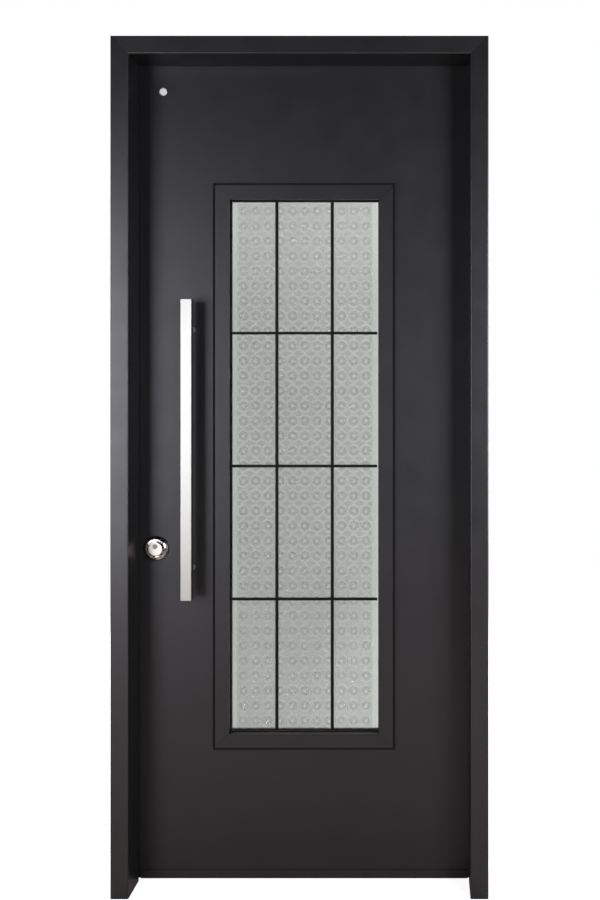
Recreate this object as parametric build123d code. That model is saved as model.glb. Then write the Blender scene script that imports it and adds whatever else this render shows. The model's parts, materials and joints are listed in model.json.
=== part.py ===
from build123d import *
import math
import os

# A steel security door hung in its folded steel frame, shown closed with its bolts drawn back.
# X runs along the doorway from the lock side to the hinge side, Y runs inward from the outside
# face of the wall, and Z is up from the floor. All sizes are millimetres.

# Clearances that several pieces share
overrun = 5.0
moving_clearance = 0.3
running_clearance = 0.05
strike_clearance = 1.5

# Doorway and folded frame
opening_width = 850.0
opening_height = 2100.0
frame_sheet = 2.0
frame_bend = 3.0
flange_width = 45.0
flange_stand = 12.0
mitre_groove_width = 1.2
mitre_groove_depth = 0.7
reveal_depth = 104.0
rebate_step = 16.0
inner_flange_setback = 4.0
inner_lip = 12.0
fixing_hole_radius = 5.5
fixing_end_inset = 160.0

# Seal on the frame's stop
seal_width = 9.0
seal_height = 5.7
seal_inset = 2.0

# Leaf skins and channels
edge_gap = 3.5
foot_gap = 4.0
skin_sheet = 1.5
skin_bend = 3.0
channel_sheet = 2.0
channel_bend = 3.0
channel_flange = 25.0
drip_bar_height = 22.0
drip_bar_thickness = 2.0
drip_bar_end_gap = 3.0
sweep_gap = 1.0
sweep_width = 12.0
sweep_lip = 4.0
sweep_base = 1.5

# Glazed window, placed by the panel left round its sight edge
window_side_margin = 244.5
window_foot_margin = 374.0
window_head_margin = 356.5
cutout_margin = 20.0
upright_gap = 2.0
glazing_face = 36.0
glazing_groove = 6.5
glazing_bead = 4.0
glazing_rise = 6.0
bead_rise = 3.0
groove_floor = 0.8
glazing_wall = 2.0
glazing_foot = 14.0
glazing_mitre_gap = 0.4
groove_seal_thickness = 1.2
foot_depth = 9.5
locating_leg = 6.0
inner_bead_face = 38.0
pane_lap = 12.0
outer_pane_thickness = 6.0
inner_pane_thickness = 4.0
glazing_seal_thickness = 2.5
glazing_seal_show = 2.0
glazing_seal_lap = 11.0
spacer_inset = 2.0
spacer_width = 8.0
setting_block_length = 100.0
setting_block_share = 0.25

# Grille bonded to the outer pane
upright_bar_width = 8.0
cross_bar_width = 7.0
grille_thickness = 4.0
upright_bar_share = 0.372
cross_bar_count = 3
upright_bar_end_gap = 5.0
cross_bar_end_gap = 5.0

# Pull handle
handle_side = 28.0
handle_edge_round = 2.0
handle_length = 763.0
handle_mid_height = 1113.5
handle_inset = 146.5
handle_finger_gap = 42.0
post_radius = 10.0
post_inset = 75.0
handle_bolt_radius = 4.0
handle_bolt_engagement = 24.0
bolt_cap_radius = 12.0
bolt_cap_thickness = 5.0

# Lock cylinder, rosettes and thumb-turn
backset = 55.5
lock_height = 861.0
barrel_radius = 8.5
stem_width = 10.0
cylinder_height = 33.0
plug_radius = 6.5
rosette_drop = 6.0
rosette_radius = 32.5
rosette_rim = 2.0
rosette_ring_radius = 25.0
rosette_ring_height = 9.0
rosette_dome_share = 0.67
rosette_groove_radius = 21.0
rosette_groove_height = 5.5
rosette_boss_radius = 18.0
rosette_boss_height = 13.0
rosette_boss_wall = 2.0
plug_setback = 0.6
keyway_width = 1.6
keyway_height = 9.0
keyway_depth = 7.0
inner_rosette_radius = 26.0
inner_rosette_height = 7.0
rosette_edge = 1.5
thumb_boss_radius = 12.0
thumb_boss_height = 5.0
thumb_wing_length = 36.0
thumb_wing_width = 12.0
thumb_wing_height = 18.0
thumb_wing_round = 3.0

# Lock mechanism
gear_module = 1.5
gear_teeth = 18
gear_pressure_angle = 20.0
gear_backlash = 0.3
gear_turn = 90.0
dedendum_share = 1.25
flank_points = 5
rod_width = 8.0
rod_thickness = 6.0
rod_standoff = 4.0
rack_margin = 8.0
layer_gap = 3.0
bolt_radius = 8.0
bolt_gap = 2.0
bolt_back_gap = 4.0
bolt_flush = 0.5
bolt_chamfer = 1.5
bolt_pitch = 22.0
bolt_cylinder_gap = 3.5
carriage_gap = 3.0
carriage_width = 8.0
carriage_thickness = 14.0
tenon_radius = 4.0
case_wall = 2.0
case_gap = 2.5
case_margin = 5.0
faceplate_width = 24.0
faceplate_margin = 20.0
faceplate_corner = 6.0

# Top bolt and side bolts
top_bolt_radius = 7.0
top_bolt_length = 60.0
upper_side_bolt_height = 1560.0
lower_side_bolt_height = 330.0
side_bolt_pitch = 40.0
side_bolt_lap = 8.0
plate_case_gap = 1.0
rod_pin_radius = 3.0
slot_clearance = 0.3
plate_thickness = 6.0
plate_margin = 4.0
rod_end = 40.0

# Spring latch and inside lever
latch_height = 26.0
latch_thickness = 14.0
latch_throw = 12.0
latch_length = 42.0
latch_bolt_gap = 6.0
latch_nose = 4.0
finger_reach = 20.0
finger_width = 6.0
finger_lug_gap = 1.1
lug_width = 6.0
lug_hub_gap = 0.8
tail_gap = 1.0
tail_height = 6.0
tail_arm_width = 10.0
hub_radius = 10.0
journal_radius = 7.0
spindle_side = 8.0
lever_neck_radius = 8.5
lever_stand = 28.0
lever_grip_thickness = 14.0
lever_grip_length = 122.0
lever_grip_radius = 11.0
lever_tip_radius = 8.0
lever_round = 4.0
spindle_engagement = 16.0

# Strike plates
strike_plate_thickness = 2.0
strike_plate_width = 36.0
strike_plate_margin = 16.0

# Hinges and hinge-side studs
hinge_height_shares = (0.105, 0.505, 0.905)
hinge_names = ("bottom", "middle", "top")
hinge_pin_radius = 5.0
hinge_barrel_radius = 9.0
hinge_knuckle_length = 49.0
hinge_axis_gap = 11.0
hinge_axis_edge = 3.0
hinge_washer_thickness = 2.0
hinge_plate_thickness = 4.0
frame_plate_edge = 1.0
frame_plate_foot = 14.0
leaf_plate_width = 58.0
leaf_plate_edge = 4.5
leaf_plate_foot = 18.0
pin_head_radius = 7.0
pin_head_height = 3.0
stud_hinge_offset = 150.0
stud_radius = 7.0
stud_reach = 12.0
stud_chamfer = 1.5
stud_hole_clearance = 2.5

# Frame planes that follow from the sizes above
half_opening = opening_width / 2
outer_top = opening_height + flange_width
flange_front = -flange_stand
stop_face = reveal_depth - flange_stand

# Gear and travel
pitch_radius = gear_module * gear_teeth / 2
gear_tip_radius = pitch_radius + gear_module
gear_root_radius = pitch_radius - dedendum_share * gear_module
throw = pitch_radius * math.radians(gear_turn)

# Leaf planes: the leaf is as thick as its lock case and the channels each side of it
leaf_half = half_opening + rebate_step - edge_gap
leaf_bottom = foot_gap
leaf_top = opening_height + rebate_step - edge_gap
leaf_front = stop_face + seal_height + moving_clearance
case_front = leaf_front + skin_sheet + channel_sheet + case_gap
rod_front = case_front + case_wall + rod_standoff
rod_back = rod_front + rod_thickness
plate_front = rod_back + layer_gap
plate_back = plate_front + plate_thickness
bolt_line = rod_back + bolt_gap + bolt_radius
case_back = bolt_line + bolt_radius + bolt_back_gap + case_wall
leaf_back = case_back + case_gap + channel_sheet + skin_sheet
lid_front = leaf_back - skin_sheet
inner_flange = leaf_back + inner_flange_setback
rebate_middle = (stop_face + inner_flange) / 2

# Window planes
sight_bottom = leaf_bottom + window_foot_margin
sight_top = leaf_top - window_head_margin
sight_half_width = leaf_half - window_side_margin
sight_half_height = (sight_top - sight_bottom) / 2
window_height = (sight_top + sight_bottom) / 2
cutout_half_width = sight_half_width + cutout_margin
cutout_half_height = sight_half_height + cutout_margin
upright_web = cutout_half_width + upright_gap
transom_web = cutout_half_height + upright_gap
pane_half_width = sight_half_width + pane_lap
pane_half_height = sight_half_height + pane_lap
outer_foot_back = leaf_front + foot_depth
outer_pane_front = outer_foot_back + glazing_seal_thickness
outer_pane_back = outer_pane_front + outer_pane_thickness
inner_foot_back = leaf_back - foot_depth
inner_foot_front = inner_foot_back - glazing_wall
inner_pane_back = inner_foot_front - glazing_seal_thickness
inner_pane_front = inner_pane_back - inner_pane_thickness

# Lock places
lock_edge = -leaf_half
case_edge = lock_edge + skin_sheet + channel_sheet
lock_x = lock_edge + backset
cylinder_drop = cylinder_height - barrel_radius
rosette_height = lock_height - rosette_drop
upper_rod_pitch_line = lock_x + pitch_radius
lower_rod_pitch_line = lock_x - pitch_radius
rack_depth = dedendum_share * gear_module
upper_rod_middle = upper_rod_pitch_line + rack_depth + rod_width / 2
lower_rod_middle = lower_rod_pitch_line - rack_depth - rod_width / 2
main_rack_line = lock_height + pitch_radius
inner_bolt_offset = cylinder_drop + bolt_cylinder_gap + bolt_radius
outer_bolt_offset = inner_bolt_offset + bolt_pitch
main_bolt_heights = [
    lock_height + offset
    for offset in (-outer_bolt_offset, -inner_bolt_offset, inner_bolt_offset, outer_bolt_offset)
]
bolt_tip = lock_edge + bolt_flush
carriage_front = lock_x + gear_tip_radius + carriage_gap + throw
carriage_rear = carriage_front + carriage_width
lever_height = lock_height + outer_bolt_offset + bolt_radius + latch_bolt_gap + latch_height / 2
tail_bottom = lever_height + finger_reach + tail_gap
tail_top = tail_bottom + tail_height
case_bottom = lock_height - outer_bolt_offset - bolt_radius - case_margin
case_top = tail_top + case_margin + case_wall
case_rear = carriage_rear + case_margin + case_wall
cylinder_outer_end = leaf_front - rosette_boss_height + rosette_boss_wall
cylinder_inner_end = leaf_back + inner_rosette_height / 2
gear_front = rod_front
gear_back = plate_back + running_clearance
latch_front = bolt_line - latch_thickness / 2
latch_back = bolt_line + latch_thickness / 2
latch_tip = lock_edge - latch_throw
latch_rear = latch_tip + latch_length

# Handle and hinge places
handle_x = lock_edge + handle_inset
handle_back = leaf_front - handle_finger_gap
handle_bottom = handle_mid_height - handle_length / 2
handle_top = handle_mid_height + handle_length / 2
post_heights = (handle_bottom + post_inset, handle_top - post_inset)
hinge_x = half_opening + rebate_step + hinge_axis_edge
hinge_y = inner_flange + hinge_axis_gap
hinge_heights = [share * leaf_top for share in hinge_height_shares]
stud_heights = [
    hinge_heights[0] + stud_hinge_offset,
    hinge_heights[1] + stud_hinge_offset,
    hinge_heights[2] - stud_hinge_offset,
]
fixing_heights = [
    fixing_end_inset,
    (lower_side_bolt_height + case_bottom) / 2,
    (case_top + upper_side_bolt_height) / 2,
    opening_height - fixing_end_inset,
]


def rect(x0, x1, z0, z1):
    """A rectangle in the plane of the leaf, between two opposite corners."""
    return Pos((x0 + x1) / 2, (z0 + z1) / 2) * Rectangle(x1 - x0, z1 - z0)


def disc(x, z, radius):
    """A round outline in the plane of the leaf."""
    return Pos(x, z) * Circle(radius)


def slab(outline, y0, y1):
    """A flat piece: an outline in the plane of the leaf, thick from y0 to y1."""
    plane = Plane(origin=(0, y1, 0), x_dir=(1, 0, 0), z_dir=(0, -1, 0))
    return extrude(plane * outline, amount=y1 - y0)


def block(x0, x1, y0, y1, z0, z1):
    """A rectangular piece between two opposite corners."""
    return slab(rect(x0, x1, z0, z1), y0, y1)


def along_x(x0, x1, y, z, radius):
    """A round bar that runs across the doorway."""
    return Pos((x0 + x1) / 2, y, z) * Rot(0, 90, 0) * Cylinder(radius, x1 - x0)


def along_z(x, y, z0, z1, radius):
    """An upright round bar."""
    return Pos(x, y, (z0 + z1) / 2) * Cylinder(radius, z1 - z0)


def bolt_shape(tip, tail, y, z, radius, chamfer):
    """A round bolt across the doorway with a chamfered tip."""
    direction = 1 if tail > tip else -1
    outline = [
        (tail, 0),
        (tip, 0),
        (tip, radius - chamfer),
        (tip + direction * chamfer, radius),
        (tail, radius),
    ]
    return Pos(0, y, z) * revolve(make_face(Polyline(*outline, close=True)), axis=Axis.X)


def folded(path, sheet, bend):
    """The section of a sheet bent along a path, with the sheet on the path's right."""
    line = FilletPolyline(*path, radius=bend)
    return make_face(line.wire().offset_2d(sheet, side=Side.RIGHT))


def run_plane(middle, outward):
    """A plane across a length of section: its x points outward and its y points inward."""
    return Plane(origin=middle, x_dir=outward, z_dir=outward.cross(Vector(0, 1, 0)))


def jamb_length(section, side):
    """An upright length of a frame section, square at the floor and mitred at the head."""
    outward = Vector(side, 0, 0)
    plane = run_plane(Vector(side * half_opening, 0, 0), outward)
    post = extrude(plane * section, amount=side * outer_top)
    corner = Vector(side * half_opening, 0, opening_height)
    mitre = Plane(origin=corner, z_dir=Vector(0, 0, 1) - outward)
    return split(post, bisect_by=mitre, keep=Keep.BOTTOM)


def mitred_length(section, middle, outward, half_length, reach, gap=0):
    """A length of section along one side of an opening, mitred at both ends, with a gap at the joints."""
    plane = run_plane(middle, outward)
    bar = extrude(plane * section, amount=half_length + reach, both=True)
    for end in (plane.z_dir, -plane.z_dir):
        towards = (end - outward).normalized()
        mitre = Plane(origin=middle + end * half_length - towards * (gap / 2), z_dir=towards)
        bar = split(bar, bisect_by=mitre, keep=Keep.BOTTOM)
    return bar


def window_sides():
    """Each side of the window: its name, its middle, its outward direction and half its length."""
    centre = Vector(0, 0, window_height)
    sides = []
    for name, across, up in (("left", -1, 0), ("right", 1, 0), ("top", 0, 1), ("bottom", 0, -1)):
        outward = Vector(across, 0, up)
        middle = centre + Vector(across * sight_half_width, 0, up * sight_half_height)
        half_length = sight_half_height if across else sight_half_width
        sides.append((name, middle, outward, half_length))
    return sides


def window_ring(inner_inset, outer_inset, y0, y1):
    """A rectangular ring round the window, its edges given outward from the sight edge."""
    outlines = [
        Rectangle(2 * (sight_half_width + inset), 2 * (sight_half_height + inset))
        for inset in (inner_inset, outer_inset)
    ]
    return slab(Pos(0, window_height) * (outlines[1] - outlines[0]), y0, y1)


def window_plate(half_width, half_height, y0, y1):
    """A rectangular plate centred on the window."""
    low, high = window_height - half_height, window_height + half_height
    return block(-half_width, half_width, y0, y1, low, high)


def cylinder_outline(grow):
    """The outline of the profile cylinder: a round barrel over a narrower stem."""
    half_stem = stem_width / 2 + grow
    stem_end = lock_height - cylinder_drop + stem_width / 2
    stem = rect(lock_x - half_stem, lock_x + half_stem, stem_end, lock_height)
    barrel = disc(lock_x, lock_height, barrel_radius + grow)
    return barrel + stem + disc(lock_x, stem_end, half_stem)


def main_bolt_holes(x0, x1, clearance):
    """The holes that the main bolts pass through."""
    return [
        along_x(x0, x1, bolt_line, height, bolt_radius + clearance)
        for height in main_bolt_heights
    ]


def latch_hole(x0, x1, clearance):
    """The opening that the spring latch passes through."""
    half_height = latch_height / 2 + clearance
    low, high = lever_height - half_height, lever_height + half_height
    return block(x0, x1, latch_front - clearance, latch_back + clearance, low, high)


def side_bolt_heights(height):
    """The heights of the two bolts of one side bolt unit."""
    return (height - side_bolt_pitch / 2, height + side_bolt_pitch / 2)


def side_bolt_holes(x0, x1, clearance):
    """The holes that the upper and lower side bolts pass through."""
    return [
        along_x(x0, x1, bolt_line, z, bolt_radius + clearance)
        for unit in (upper_side_bolt_height, lower_side_bolt_height)
        for z in side_bolt_heights(unit)
    ]


def top_bolt_hole(z0, z1, clearance):
    """The hole that the top bolt passes through."""
    return along_z(upper_rod_middle, (rod_front + rod_back) / 2, z0, z1, top_bolt_radius + clearance)


def frame_section():
    """The folded section of the frame, measured outward from the clear opening."""
    path = [
        (flange_width, 0),
        (flange_width, flange_front),
        (0, flange_front),
        (0, stop_face),
        (rebate_step, stop_face),
        (rebate_step, inner_flange),
        (flange_width, inner_flange),
        (flange_width, inner_flange - inner_lip),
    ]
    return folded(path, frame_sheet, frame_bend)


def fixing_holes(side):
    """Holes in the rebate of one jamb for the fixings into the wall."""
    face = half_opening + rebate_step
    ends = sorted((side * (face - overrun), side * (face + frame_sheet + overrun)))
    return [along_x(*ends, rebate_middle, z, fixing_hole_radius) for z in fixing_heights]


def mitre_groove(side):
    """The shallow line along the mitre of one top corner, in the front of the flange."""
    middle = Pos(side * (half_opening + flange_width / 2), opening_height + flange_width / 2)
    outline = middle * Rot(0, 0, side * 45) * Rectangle(2 * flange_width, mitre_groove_width)
    return slab(outline, flange_front - overrun, flange_front + mitre_groove_depth)


def build_frame():
    """Two jambs and a head of one folded section, mitred at the top corners."""
    section = frame_section()
    face = half_opening + rebate_step
    behind = face + frame_sheet + strike_plate_thickness + overrun
    lock_jamb = jamb_length(section, -1) - fixing_holes(-1)
    lock_jamb -= main_bolt_holes(-behind, -face + overrun, strike_clearance)
    lock_jamb -= side_bolt_holes(-behind, -face + overrun, strike_clearance)
    lock_jamb -= latch_hole(-behind, -face + overrun, strike_clearance)
    lock_jamb -= mitre_groove(-1)
    hinge_jamb = jamb_length(section, 1) - fixing_holes(1)
    hinge_jamb -= [
        along_x(face - overrun, face + frame_sheet + overrun, bolt_line, z, stud_radius + stud_hole_clearance)
        for z in stud_heights
    ]
    hinge_jamb -= mitre_groove(1)
    head_middle = Vector(0, 0, opening_height)
    head = mitred_length(section, head_middle, Vector(0, 0, 1), half_opening, flange_width)
    head_face = opening_height + rebate_step
    head -= top_bolt_hole(head_face - overrun, head_face + frame_sheet + overrun, strike_clearance)
    head -= [mitre_groove(-1), mitre_groove(1)]
    return {"frame_lock_jamb": lock_jamb, "frame_hinge_jamb": hinge_jamb, "frame_head": head}


def build_frame_seals():
    """A half-round rubber seal on the stop, in three mitred lengths."""
    start, end = seal_inset, seal_inset + seal_width
    crown = (seal_inset + seal_width / 2, stop_face + seal_height)
    arc = ThreePointArc((start, stop_face), crown, (end, stop_face))
    section = make_face(Line((end, stop_face), (start, stop_face)) + arc)
    head_middle = Vector(0, 0, opening_height)
    lengths = [
        jamb_length(section, -1),
        jamb_length(section, 1),
        mitred_length(section, head_middle, Vector(0, 0, 1), half_opening, flange_width),
    ]
    return {"frame_seals": Compound(children=lengths)}


def build_strike_plates():
    """Plates behind the rebate that the bolts and the latch enter."""
    front = -(half_opening + rebate_step + frame_sheet)
    back = front - strike_plate_thickness
    low, high = bolt_line - strike_plate_width / 2, bolt_line + strike_plate_width / 2
    latch_end = lever_height + latch_height / 2 + strike_plate_margin
    main_end = main_bolt_heights[0] - bolt_radius - strike_plate_margin
    main = block(back, front, low, high, main_end, latch_end)
    main -= main_bolt_holes(back - overrun, front + overrun, strike_clearance)
    main -= latch_hole(back - overrun, front + overrun, strike_clearance)
    plates = [main]
    for unit in (upper_side_bolt_height, lower_side_bolt_height):
        reach = side_bolt_pitch / 2 + bolt_radius + strike_plate_margin
        plate = block(back, front, low, high, unit - reach, unit + reach)
        plates.append(plate - side_bolt_holes(back - overrun, front + overrun, strike_clearance))
    bottom = opening_height + rebate_step + frame_sheet
    top = bottom + strike_plate_thickness
    reach = top_bolt_radius + strike_plate_margin
    rod_line = (rod_front + rod_back) / 2
    top_plate = block(
        upper_rod_middle - reach,
        upper_rod_middle + reach,
        rod_line - strike_plate_width / 2,
        rod_line + strike_plate_width / 2,
        bottom,
        top,
    )
    plates.append(top_plate - top_bolt_hole(bottom - overrun, top + overrun, strike_clearance))
    return {"strike_plates": Compound(children=plates)}


def knuckle(outline_foot, plate, z0, z1):
    """A hinge knuckle: a barrel on a foot that runs out into its plate, bored for the pin."""
    barrel = Pos(hinge_x, hinge_y) * Circle(hinge_barrel_radius)
    body = make_hull((barrel + outline_foot).edges())
    bore = Pos(hinge_x, hinge_y) * Circle(hinge_pin_radius + running_clearance)
    return extrude(Pos(0, 0, z0) * (body + plate - bore), amount=z1 - z0)


def plan_rect(x0, x1, y0, y1):
    """A rectangle seen from above."""
    return Pos((x0 + x1) / 2, (y0 + y1) / 2) * Rectangle(x1 - x0, y1 - y0)


def build_hinges():
    """Three hinges on the inside: frame knuckles below, leaf knuckles above, pins and washers."""
    pieces = {}
    pins = []
    washers = []
    half_washer = hinge_washer_thickness / 2
    plate_end = half_opening + flange_width - frame_plate_edge
    frame_back = inner_flange + hinge_plate_thickness
    frame_plate = plan_rect(hinge_x, plate_end, inner_flange, frame_back)
    frame_foot = plan_rect(hinge_x, hinge_x + frame_plate_foot, inner_flange, frame_back)
    leaf_end = leaf_half - leaf_plate_edge
    leaf_plate_back = leaf_back + hinge_plate_thickness
    leaf_plate = plan_rect(leaf_end - leaf_plate_width, leaf_end, leaf_back, leaf_plate_back)
    leaf_foot = plan_rect(leaf_end - leaf_plate_foot, leaf_end, leaf_back, leaf_plate_back)
    for name, z in zip(hinge_names, hinge_heights):
        lower_top = z - half_washer
        upper_bottom = z + half_washer + running_clearance
        lower_end = lower_top - hinge_knuckle_length
        upper_end = upper_bottom + hinge_knuckle_length
        pieces[f"hinge_{name}_frame_knuckle"] = knuckle(frame_foot, frame_plate, lower_end, lower_top)
        pieces[f"hinge_{name}_leaf_knuckle"] = knuckle(leaf_foot, leaf_plate, upper_bottom, upper_end)
        shank = along_z(hinge_x, hinge_y, lower_end - pin_head_height, upper_end, hinge_pin_radius)
        head = along_z(hinge_x, hinge_y, lower_end - pin_head_height, lower_end, pin_head_radius)
        pins.append(shank + head)
        ring = Circle(hinge_barrel_radius) - Circle(hinge_pin_radius + running_clearance)
        washers.append(extrude(Pos(hinge_x, hinge_y, lower_top) * ring, amount=hinge_washer_thickness))
    pieces["hinge_pins"] = Compound(children=pins)
    pieces["hinge_bearings"] = Compound(children=washers)
    return pieces


def channel_section():
    """A folded U-channel as deep as the space between the two skins."""
    depth = lid_front - leaf_front - skin_sheet
    path = [(channel_flange, 0), (0, 0), (0, depth), (channel_flange, depth)]
    return folded(path, channel_sheet, channel_bend)


def channel(middle, toward, half_length):
    """A length of channel whose web is at the given middle and whose flanges point one way."""
    plane = run_plane(middle, toward)
    return extrude(plane * channel_section(), amount=half_length, both=True)


def handle_bolt_holes(y0, y1, radius):
    """Holes for the two through bolts of the pull handle."""
    return [slab(disc(handle_x, z, radius), y0, y1) for z in post_heights]


def lever_hole(y0, y1, radius):
    """A hole round the lever's spindle."""
    return slab(disc(lock_x, lever_height, radius), y0, y1)


def faceplate_ends():
    """The lower and upper end of the lock faceplate."""
    return (case_bottom - faceplate_margin, case_top + faceplate_margin)


def build_skins():
    """The leaf's two skins: a folded outer tray and a flat inner lid."""
    blank = block(-leaf_half, leaf_half, leaf_front, lid_front, leaf_bottom, leaf_top)
    front_face = blank.faces().sort_by(Axis.Y)[0]
    blank = fillet(front_face.edges(), skin_bend)
    back_face = blank.faces().sort_by(Axis.Y)[-1]
    outer = offset(blank, amount=-skin_sheet, openings=back_face)
    front_cut = (leaf_front - overrun, leaf_front + skin_sheet + overrun)
    outer -= window_plate(cutout_half_width, cutout_half_height, *front_cut)
    outer -= slab(cylinder_outline(moving_clearance), *front_cut)
    outer -= handle_bolt_holes(*front_cut, handle_bolt_radius + moving_clearance)
    edge_cut = (lock_edge - overrun, lock_edge + skin_sheet + overrun)
    half_plate = faceplate_width / 2 + moving_clearance
    low, high = faceplate_ends()
    plate_cut = (bolt_line - half_plate, bolt_line + half_plate)
    outer -= block(*edge_cut, *plate_cut, low - moving_clearance, high + moving_clearance)
    outer -= side_bolt_holes(*edge_cut, moving_clearance)
    outer -= top_bolt_hole(leaf_top - skin_sheet - overrun, leaf_top + overrun, moving_clearance)
    stud_cut = (leaf_half - skin_sheet - overrun, leaf_half + overrun)
    outer -= [
        along_x(*stud_cut, bolt_line, z, stud_radius + running_clearance)
        for z in stud_heights
    ]
    inner = block(-leaf_half, leaf_half, lid_front, leaf_back, leaf_bottom, leaf_top)
    back_cut = (lid_front - overrun, leaf_back + overrun)
    inner -= window_plate(cutout_half_width, cutout_half_height, *back_cut)
    inner -= slab(cylinder_outline(moving_clearance), *back_cut)
    inner -= handle_bolt_holes(*back_cut, handle_bolt_radius + moving_clearance)
    inner -= lever_hole(*back_cut, lever_neck_radius + moving_clearance)
    return {"leaf_outer_skin": outer, "leaf_inner_skin": inner}


def build_leaf_channels():
    """The channels inside the leaf: stiles, rails and the frame round the window."""
    depth_start = leaf_front + skin_sheet
    stile_x = leaf_half - skin_sheet
    low, high = leaf_bottom + skin_sheet, leaf_top - skin_sheet
    middle_z = (low + high) / 2
    half_space = (high - low) / 2
    half_stile = half_space - (skin_bend - skin_sheet)
    lock_stile = channel(Vector(-stile_x, depth_start, middle_z), Vector(1, 0, 0), half_stile)
    web_cut = (-stile_x - overrun, -stile_x + channel_sheet + overrun)
    lock_stile -= main_bolt_holes(*web_cut, moving_clearance)
    lock_stile -= side_bolt_holes(*web_cut, moving_clearance)
    lock_stile -= latch_hole(*web_cut, moving_clearance)
    hinge_stile = channel(Vector(stile_x, depth_start, middle_z), Vector(-1, 0, 0), half_stile)
    half_rail = stile_x - channel_flange
    top_rail = channel(Vector(0, depth_start, high), Vector(0, 0, -1), half_rail)
    top_rail -= top_bolt_hole(high - channel_sheet - overrun, high + overrun, moving_clearance)
    bottom_rail = channel(Vector(0, depth_start, low), Vector(0, 0, 1), half_rail)
    half_upright = half_space - channel_flange
    uprights = [
        channel(Vector(side * upright_web, depth_start, middle_z), Vector(side, 0, 0), half_upright)
        for side in (-1, 1)
    ]
    transoms = [
        channel(
            Vector(0, depth_start, window_height + side * transom_web), Vector(0, 0, side), upright_web
        )
        for side in (-1, 1)
    ]
    return {
        "leaf_lock_stile": lock_stile,
        "leaf_hinge_stile": hinge_stile,
        "leaf_top_rail": top_rail,
        "leaf_bottom_rail": bottom_rail,
        "window_uprights": Compound(children=uprights),
        "window_transoms": Compound(children=transoms),
    }


def build_leaf_trim():
    """The drip bar and sweep seal at the foot, and the fixed studs in the hinge edge."""
    half_bar = half_opening - drip_bar_end_gap
    bar = block(
        -half_bar,
        half_bar,
        leaf_front - drip_bar_thickness,
        leaf_front,
        leaf_bottom,
        leaf_bottom + drip_bar_height,
    )
    top_edge = bar.edges().filter_by(Axis.X).group_by(Axis.Z)[-1].sort_by(Axis.Y)[0]
    bar = chamfer(top_edge, drip_bar_thickness / 2)
    middle = (leaf_front + leaf_back) / 2
    base = (middle - sweep_width / 2, middle + sweep_width / 2)
    lip = (middle - sweep_lip / 2, middle + sweep_lip / 2)
    half_seal = half_opening - moving_clearance
    sweep = block(-half_seal, half_seal, *base, leaf_bottom - sweep_base, leaf_bottom)
    sweep += block(-half_seal, half_seal, *lip, sweep_gap, leaf_bottom)
    inner_end = leaf_half - skin_sheet
    studs = [
        bolt_shape(leaf_half + stud_reach, inner_end, bolt_line, z, stud_radius, stud_chamfer)
        for z in stud_heights
    ]
    return {"drip_bar": bar, "bottom_seal": sweep, "hinge_side_studs": Compound(children=studs)}


def glazing_frame_section():
    """The extruded section of the outer glazing frame: flat face, groove, bead, legs and foot."""
    front = leaf_front - glazing_rise
    back_of_face = front + glazing_wall
    groove_front = leaf_front - groove_floor
    groove_end = glazing_face + glazing_groove
    outer_edge = groove_end + glazing_bead
    foot_front = outer_foot_back - glazing_wall
    leg_end = cutout_margin - moving_clearance
    leg_start = leg_end - glazing_wall
    leg_back = leaf_front + locating_leg
    rib_start = glazing_face - glazing_wall
    outline = [
        (0, front),
        (glazing_face, front),
        (glazing_face, groove_front),
        (groove_end, groove_front),
        (groove_end, leaf_front - bead_rise),
        (outer_edge, leaf_front - bead_rise),
        (outer_edge, leaf_front),
        (rib_start, leaf_front),
        (rib_start, back_of_face),
        (leg_end, back_of_face),
        (leg_end, leg_back),
        (leg_start, leg_back),
        (leg_start, back_of_face),
        (glazing_wall, back_of_face),
        (glazing_wall, foot_front),
        (glazing_foot, foot_front),
        (glazing_foot, outer_foot_back),
        (0, outer_foot_back),
    ]
    return make_face(Polyline(*outline, close=True))


def inner_bead_section():
    """The section of the inner glazing bead: a flat face on the skin, a leg and a foot."""
    face_back = leaf_back + glazing_wall
    outline = [
        (0, inner_foot_front),
        (glazing_foot, inner_foot_front),
        (glazing_foot, inner_foot_back),
        (glazing_wall, inner_foot_back),
        (glazing_wall, leaf_back),
        (inner_bead_face, leaf_back),
        (inner_bead_face, face_back),
        (0, face_back),
    ]
    return make_face(Polyline(*outline, close=True))


def build_window():
    """Glazing frame, panes, seals, spacer, setting blocks and inner beads."""
    pieces = {}
    beads = []
    for name, middle, outward, half_length in window_sides():
        reach = glazing_face + glazing_groove + glazing_bead
        run = (middle, outward, half_length)
        frame_side = mitred_length(glazing_frame_section(), *run, reach, glazing_mitre_gap)
        pieces[f"glazing_frame_{name}"] = frame_side
        beads.append(mitred_length(inner_bead_section(), *run, inner_bead_face, glazing_mitre_gap))
    pieces["inner_glazing_beads"] = Compound(children=beads)
    pieces["outer_pane"] = window_plate(
        pane_half_width, pane_half_height, outer_pane_front, outer_pane_back
    )
    pieces["inner_pane"] = window_plate(
        pane_half_width, pane_half_height, inner_pane_front, inner_pane_back
    )
    pieces["pane_spacer"] = window_ring(
        spacer_inset, spacer_inset + spacer_width, outer_pane_back, inner_pane_front
    )
    groove_front = leaf_front - groove_floor
    groove_end = glazing_face + glazing_groove
    seals = [
        window_ring(-glazing_seal_show, glazing_seal_lap, outer_foot_back, outer_pane_front),
        window_ring(-glazing_seal_show, glazing_seal_lap, inner_pane_back, inner_foot_front),
        window_ring(glazing_face, groove_end, groove_front - groove_seal_thickness, groove_front),
    ]
    pieces["glazing_seals"] = Compound(children=seals)
    block_top = window_height - pane_half_height
    block_bottom = window_height - transom_web
    half_block = setting_block_length / 2
    blocks = []
    for side in (-1, 1):
        x = side * setting_block_share * 2 * pane_half_width
        blocks.append(
            block(x - half_block, x + half_block, outer_pane_front, inner_pane_back, block_bottom, block_top)
        )
    pieces["setting_blocks"] = Compound(children=blocks)
    return pieces


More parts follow.
